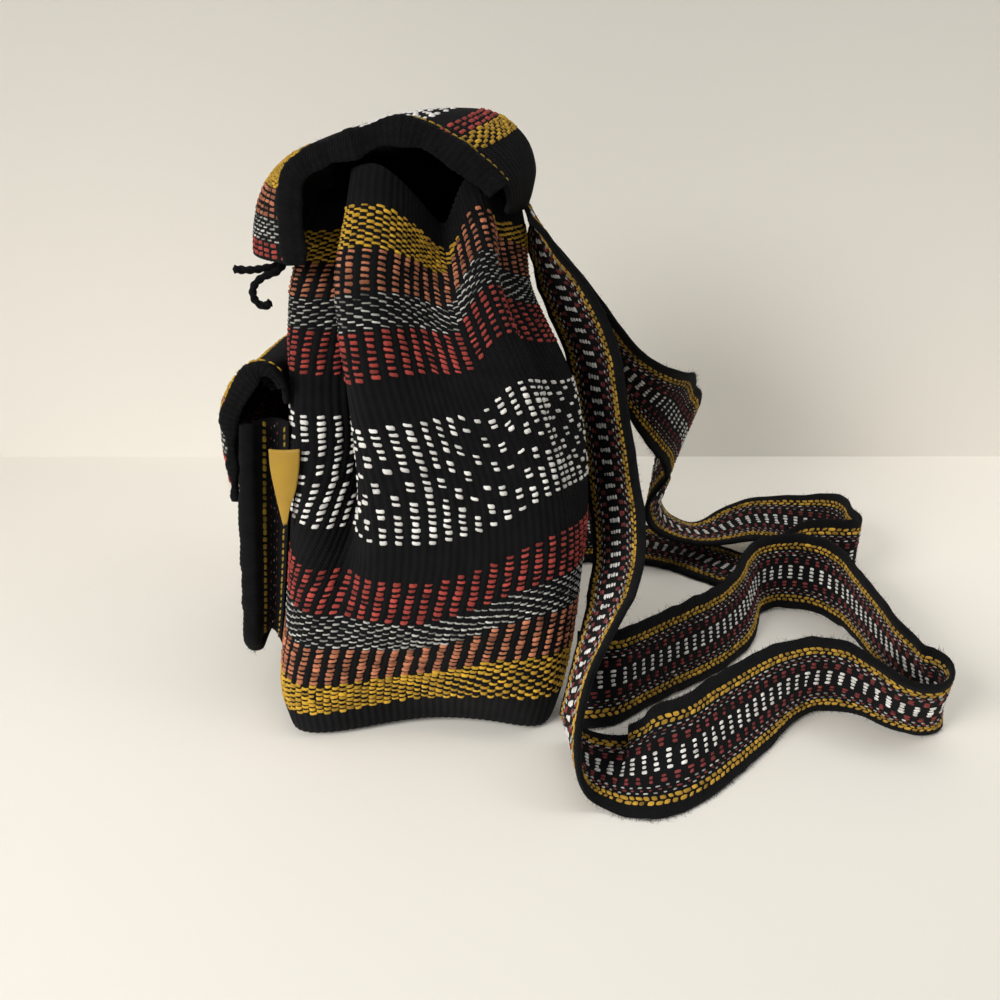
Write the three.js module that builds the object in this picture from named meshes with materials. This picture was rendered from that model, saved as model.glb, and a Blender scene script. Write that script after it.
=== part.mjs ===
// A small woven drawstring backpack, standing on its base with both shoulder straps lying beside it.
// Millimetres, +Z up. The origin is the middle of the base on the ground.
// +X is the back of the bag, where the straps are sewn. -X is the front, with the pocket.
// -Y is the near side and +Y the far side.
import * as THREE from "three";
import { mergeVertices } from "three/addons/utils/BufferGeometryUtils.js";

// Driving dimensions
const CLOTH = 2.4; // wall of the woven cloth
const HEM = 4.6; // wall of the rolled hem round the mouth
const HEM_FROM = 0.945; // share of the rise where the hem begins
const WEBBING = 2.2; // thickness of the strap webbing
const STRAP_WIDTH = 45;
const SEAM_GAP = 0.5; // gap between pieces that are sewn together
const BINDING_GAP = 1.2; // from a flap's edge to its binding
const BINDING_THICK = 3.2; // edge binding of both flaps
const BINDING_DEEP = 11;
const CORD = 3.4; // drawstring
const LABEL_THICK = 1;
const LABEL_BOW = 0.09; // bow of the label as a share of its width

// Mesh steps
const ROUND_STEPS = 64; // around the bag, a multiple of four
const RISE_STEPS = 16; // from the base edge to the rim
const BASE_RINGS = [0.4, 0.78, 0.93]; // shares of the way from the base's middle to its edge
const BASE_FLAT = 0.8; // the base is flat inside this share
const FINE_STEPS = 480; // samples of one outline before it is spaced evenly

// Outline of the bag from the base edge to the rim. power is the superellipse's exponent.
const SECTIONS = [
  { rise: 0.0, z: 1.2, front: -66, back: 60, half: 94, power: 8 },
  { rise: 0.07, z: 19, front: -69, back: 64, half: 96, power: 7 },
  { rise: 0.2, z: 54, front: -66, back: 70, half: 96, power: 5 },
  { rise: 0.38, z: 100, front: -62, back: 73, half: 94, power: 4.2 },
  { rise: 0.58, z: 148, front: -60, back: 63.4, half: 88, power: 3.8 },
  { rise: 0.78, z: 192, front: -59, back: 46.5, half: 78, power: 3.2 },
  { rise: 0.92, z: 217, front: -54, back: 44.5, half: 68, power: 2.8 },
  { rise: 1.0, z: 232, front: -50, back: 42, half: 63, power: 2.6 },
];

// Valleys of the gathered cloth. at: share round the bag at the rim, lean: its shift at the base,
// wide and deep in millimetres, low and high: the rise where it has died away or is at its full depth.
const VALLEYS = [
  { at: 0.655, lean: 0.045, wide: 11, deep: 20, low: 0.12, high: 0.55 },
  { at: 0.795, lean: -0.1, wide: 14, deep: 14, low: 0.45, high: 0.95 },
  { at: 0.885, lean: -0.02, wide: 12, deep: 7, low: 0.2, high: 0.8 },
  { at: 0.725, lean: 0.0, wide: 20, deep: -5, low: 0.3, high: 0.8 },
  { at: 0.045, lean: 0.05, wide: 9, deep: 4, low: 0.3, high: 0.75 },
  { at: 0.125, lean: 0.01, wide: 11, deep: 8, low: 0.25, high: 0.85 },
  { at: 0.205, lean: 0.03, wide: 12, deep: 13, low: 0.3, high: 0.9 },
  { at: 0.285, lean: -0.03, wide: 12, deep: 13, low: 0.35, high: 0.9 },
  { at: 0.352, lean: -0.01, wide: 10, deep: 12, low: 0.25, high: 0.8 },
  { at: 0.452, lean: 0.0, wide: 9, deep: 7, low: 0.68, high: 0.95 },
  { at: 0.548, lean: 0.0, wide: 9, deep: 7, low: 0.68, high: 0.95 },
];

// Height of the rim and of the base edge round the bag, against the sections above.
const HEIGHTS = [
  { at: 0.0, rim: -8, base: 2 },
  { at: 0.1, rim: -4, base: 0 },
  { at: 0.2, rim: 8, base: 4 },
  { at: 0.29, rim: 9, base: 6 },
  { at: 0.37, rim: 8, base: 0 },
  { at: 0.5, rim: -6, base: 2 },
  { at: 0.635, rim: -3, base: 0 },
  { at: 0.677, rim: 8, base: 1 },
  { at: 0.73, rim: 11, base: 2 },
  { at: 0.8, rim: -12, base: 3 },
  { at: 0.832, rim: 7, base: 2 },
  { at: 0.88, rim: 0, base: 0 },
];

// Buckles low on the sides, where the slack cloth stands on the ground.
const BUCKLES = [
  { at: 0.735, rise: 0.1, wide: 26, tall: 0.09, deep: 7 },
  { at: 0.77, rise: 0.0, wide: 42, tall: 0.07, deep: 11 },
  { at: 0.26, rise: 0.06, wide: 40, tall: 0.1, deep: 8 },
  { at: 0.02, rise: 0.16, wide: 36, tall: 0.12, deep: 5 },
];

// Top flap from its seam on the back wall, over the mouth, to its front hem.
// edge is the side edge, crown the middle line, half the half width and farDrop how much lower the far
// edge hangs.
const FLAP_ROWS = [
  { edgeX: 35.2, edgeZ: 224, crownX: 44.6, crownZ: 223.6, half: 46, farDrop: 0 },
  { edgeX: 36.6, edgeZ: 230, crownX: 46.6, crownZ: 230.5, half: 56, farDrop: 1 },
  { edgeX: 34, edgeZ: 237, crownX: 47.6, crownZ: 240, half: 62, farDrop: 3 },
  { edgeX: 26, edgeZ: 244.5, crownX: 43, crownZ: 251, half: 63, farDrop: 7 },
  { edgeX: 14, edgeZ: 253, crownX: 31, crownZ: 260, half: 64, farDrop: 11 },
  { edgeX: 2, edgeZ: 258.4, crownX: 15, crownZ: 262, half: 64, farDrop: 13 },
  { edgeX: -10, edgeZ: 259, crownX: -5, crownZ: 260.6, half: 64, farDrop: 13 },
  { edgeX: -24, edgeZ: 254.4, crownX: -22, crownZ: 256.6, half: 64, farDrop: 11 },
  { edgeX: -38, edgeZ: 249.8, crownX: -40, crownZ: 251, half: 64, farDrop: 8 },
  { edgeX: -48, edgeZ: 243, crownX: -57, crownZ: 243, half: 64, farDrop: 5 },
  { edgeX: -51.5, edgeZ: 232, crownX: -68, crownZ: 232.4, half: 63, farDrop: 2 },
  { edgeX: -52, edgeZ: 219, crownX: -74, crownZ: 218.4, half: 62, farDrop: 0 },
  { edgeX: -51.5, edgeZ: 206, crownX: -76, crownZ: 204.4, half: 61, farDrop: 0 },
];
const FLAP_BINDING_FROM = 0.17; // share of the flap's length where its binding begins
const FLAP_CROWN = 2.4; // power of the fall from the crown to the side edges
const FLAP_LONG_STEPS = 24;
const FLAP_CROSS_STEPS = 8;

// Pocket on the front wall. out is how far the panel stands off the wall.
const POCKET_HALF = 65;
const POCKET_LOW = 28;
const POCKET_HIGH = 140;
const POCKET_CORNER = 12; // radius of the panel's lower corners
const POCKET_ROWS = [
  { z: 28, out: 14 },
  { z: 50, out: 16 },
  { z: 100, out: 19 },
  { z: 140, out: 19 },
];
const POCKET_TUCK = 7; // how far the gusset folds inward
const GUSSET_GAP = 1.4; // from the bag's wall to the gusset
const POCKET_STEPS = 10;
const GUSSET_SIDE_STEPS = 8;
const GUSSET_CORNER_STEPS = 4;
const GUSSET_FLOOR_STEPS = 5; // to the middle of the bottom
const GUSSET_SHARES = [0, 0.25, 0.5, 0.75, 1]; // places across the gusset

// Pocket flap from its seam on the front wall, over the pocket's mouth, to its hem.
// half is its half width, puff how much higher its near edge stands, tuck how far its side edges turn back
// and deep the depth of the binding along them.
const POCKET_FLAP_ROWS = [
  { out: 2.2, z: 149, half: 66, puff: 0, tuck: 0, deep: 4 },
  { out: 2.4, z: 151.5, half: 66, puff: 3, tuck: 0, deep: 4 },
  { out: 4, z: 153.4, half: 66, puff: 6.6, tuck: 0, deep: 4.5 },
  { out: 7.4, z: 154.2, half: 66, puff: 10.2, tuck: 0, deep: 5 },
  { out: 12.4, z: 153.6, half: 66, puff: 12.2, tuck: 0, deep: 6 },
  { out: 17.4, z: 151.6, half: 66, puff: 11.8, tuck: 0, deep: 7.5 },
  { out: 22.6, z: 148.4, half: 66, puff: 9.6, tuck: 0.5, deep: 8.5 },
  { out: 27.4, z: 144, half: 65, puff: 7.4, tuck: 2, deep: 8 },
  { out: 31, z: 138, half: 63.4, puff: 5.4, tuck: 3.4, deep: 6 },
  { out: 33, z: 130.4, half: 62, puff: 3.6, tuck: 6, deep: 4.4 },
  { out: 33.4, z: 121.6, half: 61, puff: 2, tuck: 6.6, deep: 3.4 },
  { out: 32, z: 112.4, half: 60.4, puff: 0.8, tuck: 5, deep: 3.2 },
  { out: 29, z: 104, half: 60, puff: 0, tuck: 1.6, deep: 3.2 },
];
const POCKET_BINDING_FROM = 0.12;
const POCKET_FLAP_TURN = 4; // power of the turn back towards the side edges
const POCKET_FLAP_PUFF = 3; // power of the fall from the near edge's height
const POCKET_FLAP_STEPS = 14;

// Label sewn into the seam between the gusset and the bag, on the near side.
const LABEL_ROWS = [
  { z: 132, inX: -50.5, outX: -63.4, y: -74.5 },
  { z: 124, inX: -51.2, outX: -63.2, y: -75.5 },
  { z: 115, inX: -53, outX: -62, y: -76.5 },
  { z: 107, inX: -56, outX: -60.8, y: -77.1 },
  { z: 99, inX: -58, outX: -59.6, y: -77.1 },
];
const LABEL_LONG_STEPS = 6;
const LABEL_CROSS_STEPS = 4;

// Routes of the straps from the top seam to the bottom corner. Each row is a place on the band's lower edge
// and the direction across the band from there to its other edge.
const STRAP_NEAR = [
  { x: 45.4, y: -46, z: 221.6, wx: -0.01, wy: 1, wz: 0 },
  { x: 51.5, y: -45.5, z: 215.5, wx: 0, wy: 0.99, wz: -0.1 },
  { x: 59, y: -42, z: 206, wx: -0.2, wy: 0.96, wz: -0.16 },
  { x: 68.5, y: -39, z: 196, wx: -0.38, wy: 0.9, wz: -0.16 },
  { x: 79.5, y: -33, z: 178, wx: -0.5, wy: 0.85, wz: -0.16 },
  { x: 87, y: -31, z: 158, wx: -0.5, wy: 0.86, wz: -0.1 },
  { x: 91, y: -33, z: 136, wx: -0.48, wy: 0.87, wz: -0.08 },
  { x: 95, y: -43, z: 113, wx: -0.44, wy: 0.89, wz: -0.12 },
  { x: 97, y: -59, z: 96, wx: -0.38, wy: 0.9, wz: -0.2 },
  { x: 95.5, y: -77, z: 83, wx: -0.3, wy: 0.9, wz: -0.28 },
  { x: 90, y: -94, z: 75, wx: -0.22, wy: 0.88, wz: -0.36 },
  { x: 83, y: -106, z: 69, wx: -0.16, wy: 0.86, wz: -0.44 },
  { x: 76, y: -117, z: 63, wx: -0.12, wy: 0.84, wz: -0.5 },
  { x: 70, y: -127, z: 56, wx: -0.1, wy: 0.84, wz: -0.54 },
  { x: 66, y: -136, z: 47, wx: -0.1, wy: 0.86, wz: -0.5 },
  { x: 64, y: -142, z: 36, wx: -0.09, wy: 0.9, wz: -0.41 },
  { x: 64, y: -144, z: 25, wx: -0.05, wy: 0.94, wz: -0.29 },
  { x: 66, y: -143, z: 14, wx: 0.0, wy: 0.98, wz: -0.16 },
  { x: 70, y: -142, z: 6, wx: 0.08, wy: 0.99, wz: 0 },
  { x: 76, y: -143, z: 2.4, wx: 0.16, wy: 0.97, wz: 0.12 },
  { x: 84, y: -146, z: 1, wx: -0.04, wy: 0.92, wz: 0.3 },
  { x: 94.5, y: -147.6, z: 1, wx: 0.12, wy: 0.77, wz: 0.56 },
  { x: 106, y: -143.6, z: 1, wx: 0.12, wy: 0.6, wz: 0.76 },
  { x: 117, y: -136, z: 1, wx: 0, wy: 0.48, wz: 0.86 },
  { x: 127, y: -127, z: 1, wx: -0.1, wy: 0.42, wz: 0.9 },
  { x: 138, y: -116, z: 1, wx: -0.1, wy: 0.38, wz: 0.92 },
  { x: 153, y: -99, z: 1, wx: -0.1, wy: 0.24, wz: 0.96 },
  { x: 167, y: -82, z: 1, wx: -0.08, wy: -0.04, wz: 1 },
  { x: 179, y: -73, z: 1, wx: -0.06, wy: -0.2, wz: 0.97 },
  { x: 190, y: -71, z: 1, wx: -0.04, wy: -0.28, wz: 0.96 },
  { x: 201, y: -76, z: 1, wx: -0.06, wy: -0.4, wz: 0.91 },
  { x: 211, y: -85, z: 1, wx: -0.1, wy: -0.48, wz: 0.86 },
  { x: 221, y: -90, z: 1, wx: -0.16, wy: -0.46, wz: 0.86 },
  { x: 230, y: -89, z: 1, wx: -0.26, wy: -0.36, wz: 0.88 },
  { x: 235, y: -83, z: 1, wx: -0.32, wy: -0.2, wz: 0.92 },
  { x: 234, y: -74, z: 1, wx: -0.32, wy: -0.1, wz: 0.94 },
  { x: 229, y: -61, z: 1, wx: -0.28, wy: -0.04, wz: 0.96 },
  { x: 226, y: -44, z: 1, wx: -0.22, wy: -0.02, wz: 0.97 },
  { x: 223.5, y: -28, z: 1, wx: -0.18, wy: 0, wz: 0.98 },
  { x: 222, y: -12, z: 1, wx: -0.16, wy: 0.02, wz: 0.98 },
  { x: 219, y: 6, z: 1, wx: -0.12, wy: 0.06, wz: 0.98 },
  { x: 211, y: 20, z: 1, wx: -0.08, wy: 0.08, wz: 0.98 },
  { x: 199, y: 27, z: 1, wx: -0.04, wy: 0.06, wz: 0.99 },
  { x: 187, y: 28, z: 1, wx: -0.04, wy: 0.02, wz: 0.99 },
  { x: 177, y: 21, z: 1, wx: -0.1, wy: 0.04, wz: 0.98 },
  { x: 172, y: 7, z: 1, wx: -0.2, wy: 0.08, wz: 0.97 },
  { x: 166, y: -9, z: 1, wx: -0.22, wy: 0.1, wz: 0.96 },
  { x: 155, y: -25, z: 1, wx: -0.18, wy: 0.1, wz: 0.97 },
  { x: 139, y: -41, z: 1, wx: -0.1, wy: 0.12, wz: 0.98 },
  { x: 118, y: -57, z: 1, wx: -0.06, wy: 0.12, wz: 0.98 },
  { x: 101, y: -70, z: 1, wx: -0.02, wy: 0.12, wz: 0.98 },
  { x: 88, y: -81, z: 1, wx: 0, wy: 0.2, wz: 0.97 },
  { x: 76, y: -87, z: 1, wx: 0.04, wy: 0.42, wz: 0.91 },
  { x: 66, y: -87, z: 1, wx: 0.12, wy: 0.54, wz: 0.83 },
];
const STRAP_FAR = [
  { x: 44.8, y: 46.4, z: 222.4, wx: 0, wy: -1, wz: 0 },
  { x: 54, y: 46.4, z: 193, wx: 0.08, wy: -0.94, wz: 0.3 },
  { x: 71, y: 42, z: 162, wx: 0.12, wy: -0.86, wz: 0.5 },
  { x: 87, y: 38, z: 135, wx: 0.16, wy: -0.78, wz: 0.6 },
  { x: 100, y: 36, z: 113, wx: 0.2, wy: -0.5, wz: 0.82 },
  { x: 109, y: 37, z: 98, wx: 0.24, wy: -0.16, wz: 0.94 },
  { x: 116, y: 41, z: 88, wx: 0.3, wy: 0.06, wz: 0.94 },
  { x: 122, y: 48, z: 80, wx: 0.34, wy: 0.14, wz: 0.92 },
  { x: 126, y: 56, z: 71, wx: 0.34, wy: 0.22, wz: 0.9 },
  { x: 127, y: 63, z: 63, wx: 0.34, wy: 0.3, wz: 0.88 },
  { x: 122, y: 67, z: 53, wx: 0.32, wy: 0.52, wz: 0.78 },
  { x: 118, y: 68, z: 42.5, wx: 0.32, wy: 0.74, wz: 0.58 },
  { x: 121, y: 68, z: 33, wx: 0.34, wy: 0.88, wz: 0.28 },
  { x: 129, y: 69, z: 26.5, wx: 0.18, wy: 0.97, wz: 0.08 },
  { x: 141, y: 70, z: 22, wx: 0.06, wy: 0.99, wz: -0.06 },
  { x: 156, y: 71, z: 19.5, wx: 0, wy: 0.99, wz: -0.12 },
  { x: 171, y: 75, z: 19, wx: 0, wy: 0.99, wz: -0.08 },
  { x: 188, y: 81, z: 18, wx: 0.02, wy: 0.98, wz: 0.1 },
  { x: 205, y: 84, z: 13, wx: 0.03, wy: 0.92, wz: 0.36 },
  { x: 221, y: 80, z: 6, wx: 0.03, wy: 0.7, wz: 0.7 },
  { x: 233, y: 70, z: 1.4, wx: 0.02, wy: 0.24, wz: 0.97 },
  { x: 238, y: 56, z: 1, wx: 0, wy: -0.02, wz: 1 },
  { x: 231, y: 45, z: 1, wx: 0, wy: 0.1, wz: 1 },
  { x: 214, y: 40, z: 1, wx: 0.02, wy: 0.46, wz: 0.88 },
  { x: 197, y: 40, z: 1, wx: 0.1, wy: 0.88, wz: 0.42 },
  { x: 180, y: 43, z: 1.2, wx: 0.24, wy: 0.95, wz: 0.1 },
  { x: 164, y: 51, z: 1.4, wx: 0.52, wy: 0.84, wz: 0.06 },
  { x: 150, y: 63, z: 1.4, wx: 0.7, wy: 0.7, wz: 0.04 },
  { x: 137, y: 75, z: 1.4, wx: 0.6, wy: 0.8, wz: 0.05 },
  { x: 121, y: 83, z: 1.4, wx: 0.2, wy: 0.97, wz: 0.1 },
  { x: 105, y: 86, z: 1.2, wx: -0.05, wy: 0.9, wz: 0.4 },
  { x: 90, y: 86, z: 1, wx: -0.08, wy: 0.66, wz: 0.74 },
  { x: 76, y: 84, z: 1, wx: -0.05, wy: 0.4, wz: 0.91 },
  { x: 63, y: 80, z: 1, wx: 0, wy: 0.24, wz: 0.97 },
];
const STRAP_STEPS_PER_ROW = 1.6;
const STRAP_SLANT = 0.5; // share of a row's slant along the band that the soft webbing keeps

// Free ends of the drawstring, from the front of the hem to their tips.
const CORD_UPPER = [
  { x: -53.5, y: -30, z: 209.4 },
  { x: -57, y: -33, z: 204.5 },
  { x: -61, y: -36, z: 201.5 },
  { x: -67, y: -38.5, z: 200.5 },
  { x: -73, y: -40, z: 200 },
  { x: -79, y: -41, z: 200.5 },
];
const CORD_LOWER = [
  { x: -54.2, y: -36.5, z: 208.4 },
  { x: -58.4, y: -39.5, z: 202.5 },
  { x: -61.5, y: -42, z: 199.5 },
  { x: -67, y: -43.5, z: 197.5 },
  { x: -71, y: -44, z: 193.5 },
  { x: -71, y: -44, z: 188.5 },
  { x: -67.5, y: -44, z: 185.5 },
  { x: -64.5, y: -44, z: 187 },
];
const CORD_SIDES = 8;
const CORD_STEPS_PER_ROW = 2;

// Colours and finishes
const YARN_BLACK = { color: 0x17171a, roughness: 0.95, metalness: 0 };
const YARN_MIXED = { color: 0x3a2a22, roughness: 0.92, metalness: 0 };
const YARN_STRAP = { color: 0x3b3320, roughness: 0.92, metalness: 0 };
const LABEL_YELLOW = { color: 0xc9a227, roughness: 0.5, metalness: 0 };

const clamp01 = (t) => Math.min(1, Math.max(0, t));
const ease = (low, high, t) => THREE.MathUtils.smoothstep(t, low, high);
const vector = (x, y, z) => new THREE.Vector3(x, y, z);

// Value of one column of a table at key t, on a cubic through the rows. A table with a period wraps round.
function column(rows, key, name, t, period = 0) {
  const count = rows.length;
  const row = (i) => {
    if (!period) {
      const j = Math.min(count - 1, Math.max(0, i));
      return [rows[j][key], rows[j][name]];
    }
    const turns = Math.floor(i / count);
    const wrapped = rows[i - turns * count];
    return [wrapped[key] + turns * period, wrapped[name]];
  };
  const start = period ? rows[0][key] : -Infinity;
  const u = period ? t - Math.floor((t - start) / period) * period : t;
  let i = 0;
  while (i < count - (period ? 1 : 2) && row(i + 1)[0] <= u) i += 1;
  const [[k0, v0], [k1, v1], [k2, v2], [k3, v3]] = [row(i - 1), row(i), row(i + 1), row(i + 2)];
  const h = k2 - k1;
  const f = clamp01((u - k1) / h);
  const m1 = k2 === k0 ? 0 : ((v2 - v0) / (k2 - k0)) * h;
  const m2 = k3 === k1 ? 0 : ((v3 - v1) / (k3 - k1)) * h;
  const f2 = f * f;
  const f3 = f2 * f;
  return (2 * f3 - 3 * f2 + 1) * v1 + (f3 - 2 * f2 + f) * m1 + (3 * f2 - 2 * f3) * v2 + (f3 - f2) * m2;
}

// A table read by the share of its length instead of by a key.
function along(rows, name, share) {
  const keyed = rows.map((r, i) => ({ i: i / (rows.length - 1), value: r[name] }));
  return column(keyed, "i", "value", share);
}

// Points spaced evenly by length inside each quarter of a closed outline.
function evenQuarters(points, count) {
  const quarter = points.length / 4;
  const steps = count / 4;
  const even = [];
  for (let q = 0; q < 4; q += 1) {
    const run = [];
    for (let i = 0; i <= quarter; i += 1) run.push(points[(q * quarter + i) % points.length]);
    const lengths = [0];
    for (let i = 1; i <= quarter; i += 1) lengths.push(lengths[i - 1] + run[i].distanceTo(run[i - 1]));
    let j = 0;
    for (let k = 0; k < steps; k += 1) {
      const target = (lengths[quarter] * k) / steps;
      while (lengths[j + 1] < target) j += 1;
      const share = (target - lengths[j]) / (lengths[j + 1] - lengths[j]);
      even.push(run[j].clone().lerp(run[j + 1], share));
    }
  }
  return even;
}

// How deep the cloth is folded in at a place on the bag.
function foldDepth(round, rise, perimeter) {
  const apart = (at) => {
    const d = round - at;
    return (d - Math.round(d)) * perimeter;
  };
  let deep = 0;
  for (const v of VALLEYS) {
    const x = apart(v.at + v.lean * (1 - rise)) / v.wide;
    deep += v.deep * ease(v.low, v.high, rise) * Math.exp(-x * x);
  }
  for (const b of BUCKLES) {
    const x = apart(b.at) / b.wide;
    const y = (rise - b.rise) / b.tall;
    deep += b.deep * Math.exp(-x * x - y * y);
  }
  return deep;
}

// One closed outline of the bag at a rise: a superellipse, folded in at the valleys, with its own heights.
function bagRing(rise, count) {
  const at = (name) => column(SECTIONS, "rise", name, rise);
  const [z, front, back, half, power] = ["z", "front", "back", "half", "power"].map(at);
  const middle = (front + back) / 2;
  const deepHalf = (back - front) / 2;
  const bend = (value) => Math.sign(value) * Math.abs(value) ** (2 / power);
  const plain = [];
  for (let i = 0; i < FINE_STEPS; i += 1) {
    const angle = (2 * Math.PI * i) / FINE_STEPS;
    plain.push(vector(middle + deepHalf * bend(Math.cos(angle)), half * bend(Math.sin(angle)), 0));
  }
  const smooth = evenQuarters(plain, FINE_STEPS);
  const perimeter = smooth.reduce((sum, p, i) => sum + p.distanceTo(smooth[(i + 1) % FINE_STEPS]), 0);
  const folded = smooth.map((p, i) => {
    const round = i / FINE_STEPS;
    const [before, after] = [i + FINE_STEPS - 1, i + 1].map((k) => smooth[k % FINE_STEPS]);
    const ahead = after.clone().sub(before).normalize();
    const deep = foldDepth(round, rise, perimeter);
    const [rim, base] = ["rim", "base"].map((n) => column(HEIGHTS, "at", n, round, 1));
    const lift = rim * rise ** 2 + base * (1 - rise) ** 6;
    return vector(p.x - ahead.y * deep, p.y + ahead.x * deep, z + lift);
  });
  return evenQuarters(folded, count);
}

// X of the bag's outer front or back wall at a width y and a height z.
function wallX(side, y, z) {
  const rise = column(SECTIONS, "z", "rise", z);
  const at = (name) => column(SECTIONS, "rise", name, rise);
  const [front, back, half, power] = ["front", "back", "half", "power"].map(at);
  const reach = (1 - Math.min(1, Math.abs(y) / half) ** power) ** (1 / power);
  return (front + back) / 2 + ((side * (back - front)) / 2) * reach;
}

// A closed body through rings of equal count. An end is closed to a middle point, or by pairing the
// ring's two sides. A two-sided ring's second half is split along the other diagonal, so both faces of
// a band bend alike.
function loft(rings, startMiddle, endMiddle) {
  const count = rings[0].length;
  const points = rings.flat();
  const faces = [];
  for (let r = 0; r + 1 < rings.length; r += 1) {
    for (let i = 0; i < count; i += 1) {
      const a = r * count + i;
      const b = r * count + ((i + 1) % count);
      if (startMiddle || 2 * i < count) faces.push([a, b, b + count], [a, b + count, a + count]);
      else faces.push([a, b, a + count], [b, b + count, a + count]);
    }
  }
  const close = (first, middle, flip) => {
    const add = (a, b, c) => faces.push(flip ? [a, c, b] : [a, b, c]);
    if (middle) {
      points.push(middle);
      for (let i = 0; i < count; i += 1) add(first + ((i + 1) % count), first + i, points.length - 1);
      return;
    }
    for (let i = 0; i + 1 < count / 2; i += 1) {
      const [a, b, c, d] = [i, i + 1, count - 2 - i, count - 1 - i].map((k) => first + k);
      add(b, a, d);
      add(b, d, c);
    }
  };
  close(0, startMiddle, false);
  close((rings.length - 1) * count, endMiddle, true);
  const geometry = new THREE.BufferGeometry();
  geometry.setAttribute("position", new THREE.Float32BufferAttribute(points.flatMap((p) => p.toArray()), 3));
  geometry.setIndex(faces.flat());
  return mergeVertices(geometry, 1e-4);
}

// Both faces of a cloth wall as rings: surface(u, v) gives its middle, thick its thickness.
function clothRings(surface, uSteps, vSteps, thick) {
  const step = 1e-3;
  const rings = [];
  for (let i = 0; i <= uSteps; i += 1) {
    const u = i / uSteps;
    const one = [];
    const other = [];
    for (let j = 0; j <= vSteps; j += 1) {
      const v = j / vSteps;
      const p = surface(u, v);
      const du = surface(Math.min(1, u + step), v).sub(surface(Math.max(0, u - step), v));
      const dv = surface(u, Math.min(1, v + step)).sub(surface(u, Math.max(0, v - step)));
      const normal = dv.cross(du).normalize().multiplyScalar(thick / 2);
      one.push(p.clone().add(normal));
      other.unshift(p.clone().sub(normal));
    }
    rings.push([...one, ...other]);
  }
  return rings;
}

// The bag: one woven shell with a flat base, gathered to a hemmed mouth.
function bagBody() {
  const thick = (rise) => CLOTH + (HEM - CLOTH) * ease(HEM_FROM - 0.02, HEM_FROM + 0.02, rise);
  const outer = [];
  for (let k = 0; k <= RISE_STEPS; k += 1) outer.push(bagRing(k / RISE_STEPS, ROUND_STEPS));
  const edge = outer[0];
  const base = BASE_RINGS.map((share) =>
    edge.map((p) => vector(p.x * share, p.y * share, p.z * ease(BASE_FLAT, 1, share))),
  );
  const shell = [...base, ...outer];
  const inner = shell.map((ring, r) =>
    ring.map((p, i) => {
      const around = ring[(i + 1) % ROUND_STEPS].clone().sub(ring[(i + ROUND_STEPS - 1) % ROUND_STEPS]);
      const above = shell[Math.min(shell.length - 1, r + 1)][i].clone().sub(shell[Math.max(0, r - 1)][i]);
      const outward = around.cross(above).normalize();
      if (r < 2) outward.set(0, 0, -1);
      const rise = Math.max(0, r - BASE_RINGS.length) / RISE_STEPS;
      return p.clone().addScaledVector(outward, -thick(rise));
    }),
  );
  return loft([...shell, ...inner.reverse()], vector(0, 0, 0), vector(0, 0, CLOTH));
}

// Top flap: a crowned sheet between its two bound edges.
function flapSurface(u, v) {
  const across = 2 * v - 1;
  const at = (name) => along(FLAP_ROWS, name, u);
  const [edgeX, edgeZ, crownX, crownZ] = ["edgeX", "edgeZ", "crownX", "crownZ"].map(at);
  const [half, farDrop] = ["half", "farDrop"].map(at);
  const crown = 1 - Math.abs(across) ** FLAP_CROWN;
  const z = edgeZ + (crownZ - edgeZ) * crown - farDrop * Math.max(0, across) ** 2;
  return vector(edgeX + (crownX - edgeX) * crown, across * half, z);
}

// Pocket flap: a curled sheet that follows the curve of the front wall, its lower side edges turned back.
function pocketFlapSurface(u, v) {
  const at = (name) => along(POCKET_FLAP_ROWS, name, u);
  const [out, z, half, puff, tuck] = ["out", "z", "half", "puff", "tuck"].map(at);
  const across = 2 * v - 1;
  const seam = wallX(-1, across * half, POCKET_FLAP_ROWS[0].z);
  const x = seam - out + tuck * across ** POCKET_FLAP_TURN;
  return vector(x, across * half, z + puff * (1 - v) ** POCKET_FLAP_PUFF);
}

// Binding along one side edge of a flap: a thick strip turned down from the edge.
function bindingRings(surface, side, from, steps, deepAt) {
  const rings = [];
  const v = side < 0 ? 0 : 1;
  const step = 0.01;
  for (let i = 0; i <= steps; i += 1) {
    const u = from + ((1 - from) * i) / steps;
    const edge = surface(u, v);
    const run = surface(Math.min(1, u + step), v).sub(surface(Math.max(0, u - step), v)).normalize();
    const sideways = vector(0, side, 0).addScaledVector(run, -run.y * side).normalize();
    const up = run.clone().cross(sideways).multiplyScalar(-side).normalize();
    const near = edge.clone().addScaledVector(sideways, BINDING_GAP);
    const put = (a, b) => near.clone().addScaledVector(sideways, a * BINDING_THICK).addScaledVector(up, b);
    const top = CLOTH / 2;
    const low = top - deepAt(u);
    const ring = [put(0, low + 1), put(0, top - 0.6), put(0.35, top + 0.5), put(0.8, top + 0.2)];
    ring.push(put(1, top - 1.6), put(1, low + 1.4), put(0.7, low), put(0.3, low));
    rings.push(side < 0 ? ring.reverse() : ring);
  }
  return rings;
}

// Pocket: the front panel with rounded lower corners.
function pocketFrontSurface(u, v) {
  const z = POCKET_LOW + (POCKET_HIGH - POCKET_LOW) * u;
  const above = Math.min(POCKET_CORNER, z - POCKET_LOW);
  const cut = POCKET_CORNER - Math.sqrt(POCKET_CORNER ** 2 - (POCKET_CORNER - above) ** 2);
  const y = (2 * v - 1) * (POCKET_HALF - cut);
  return vector(wallX(-1, y, z) - column(POCKET_ROWS, "z", "out", z), y, z);
}

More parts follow.
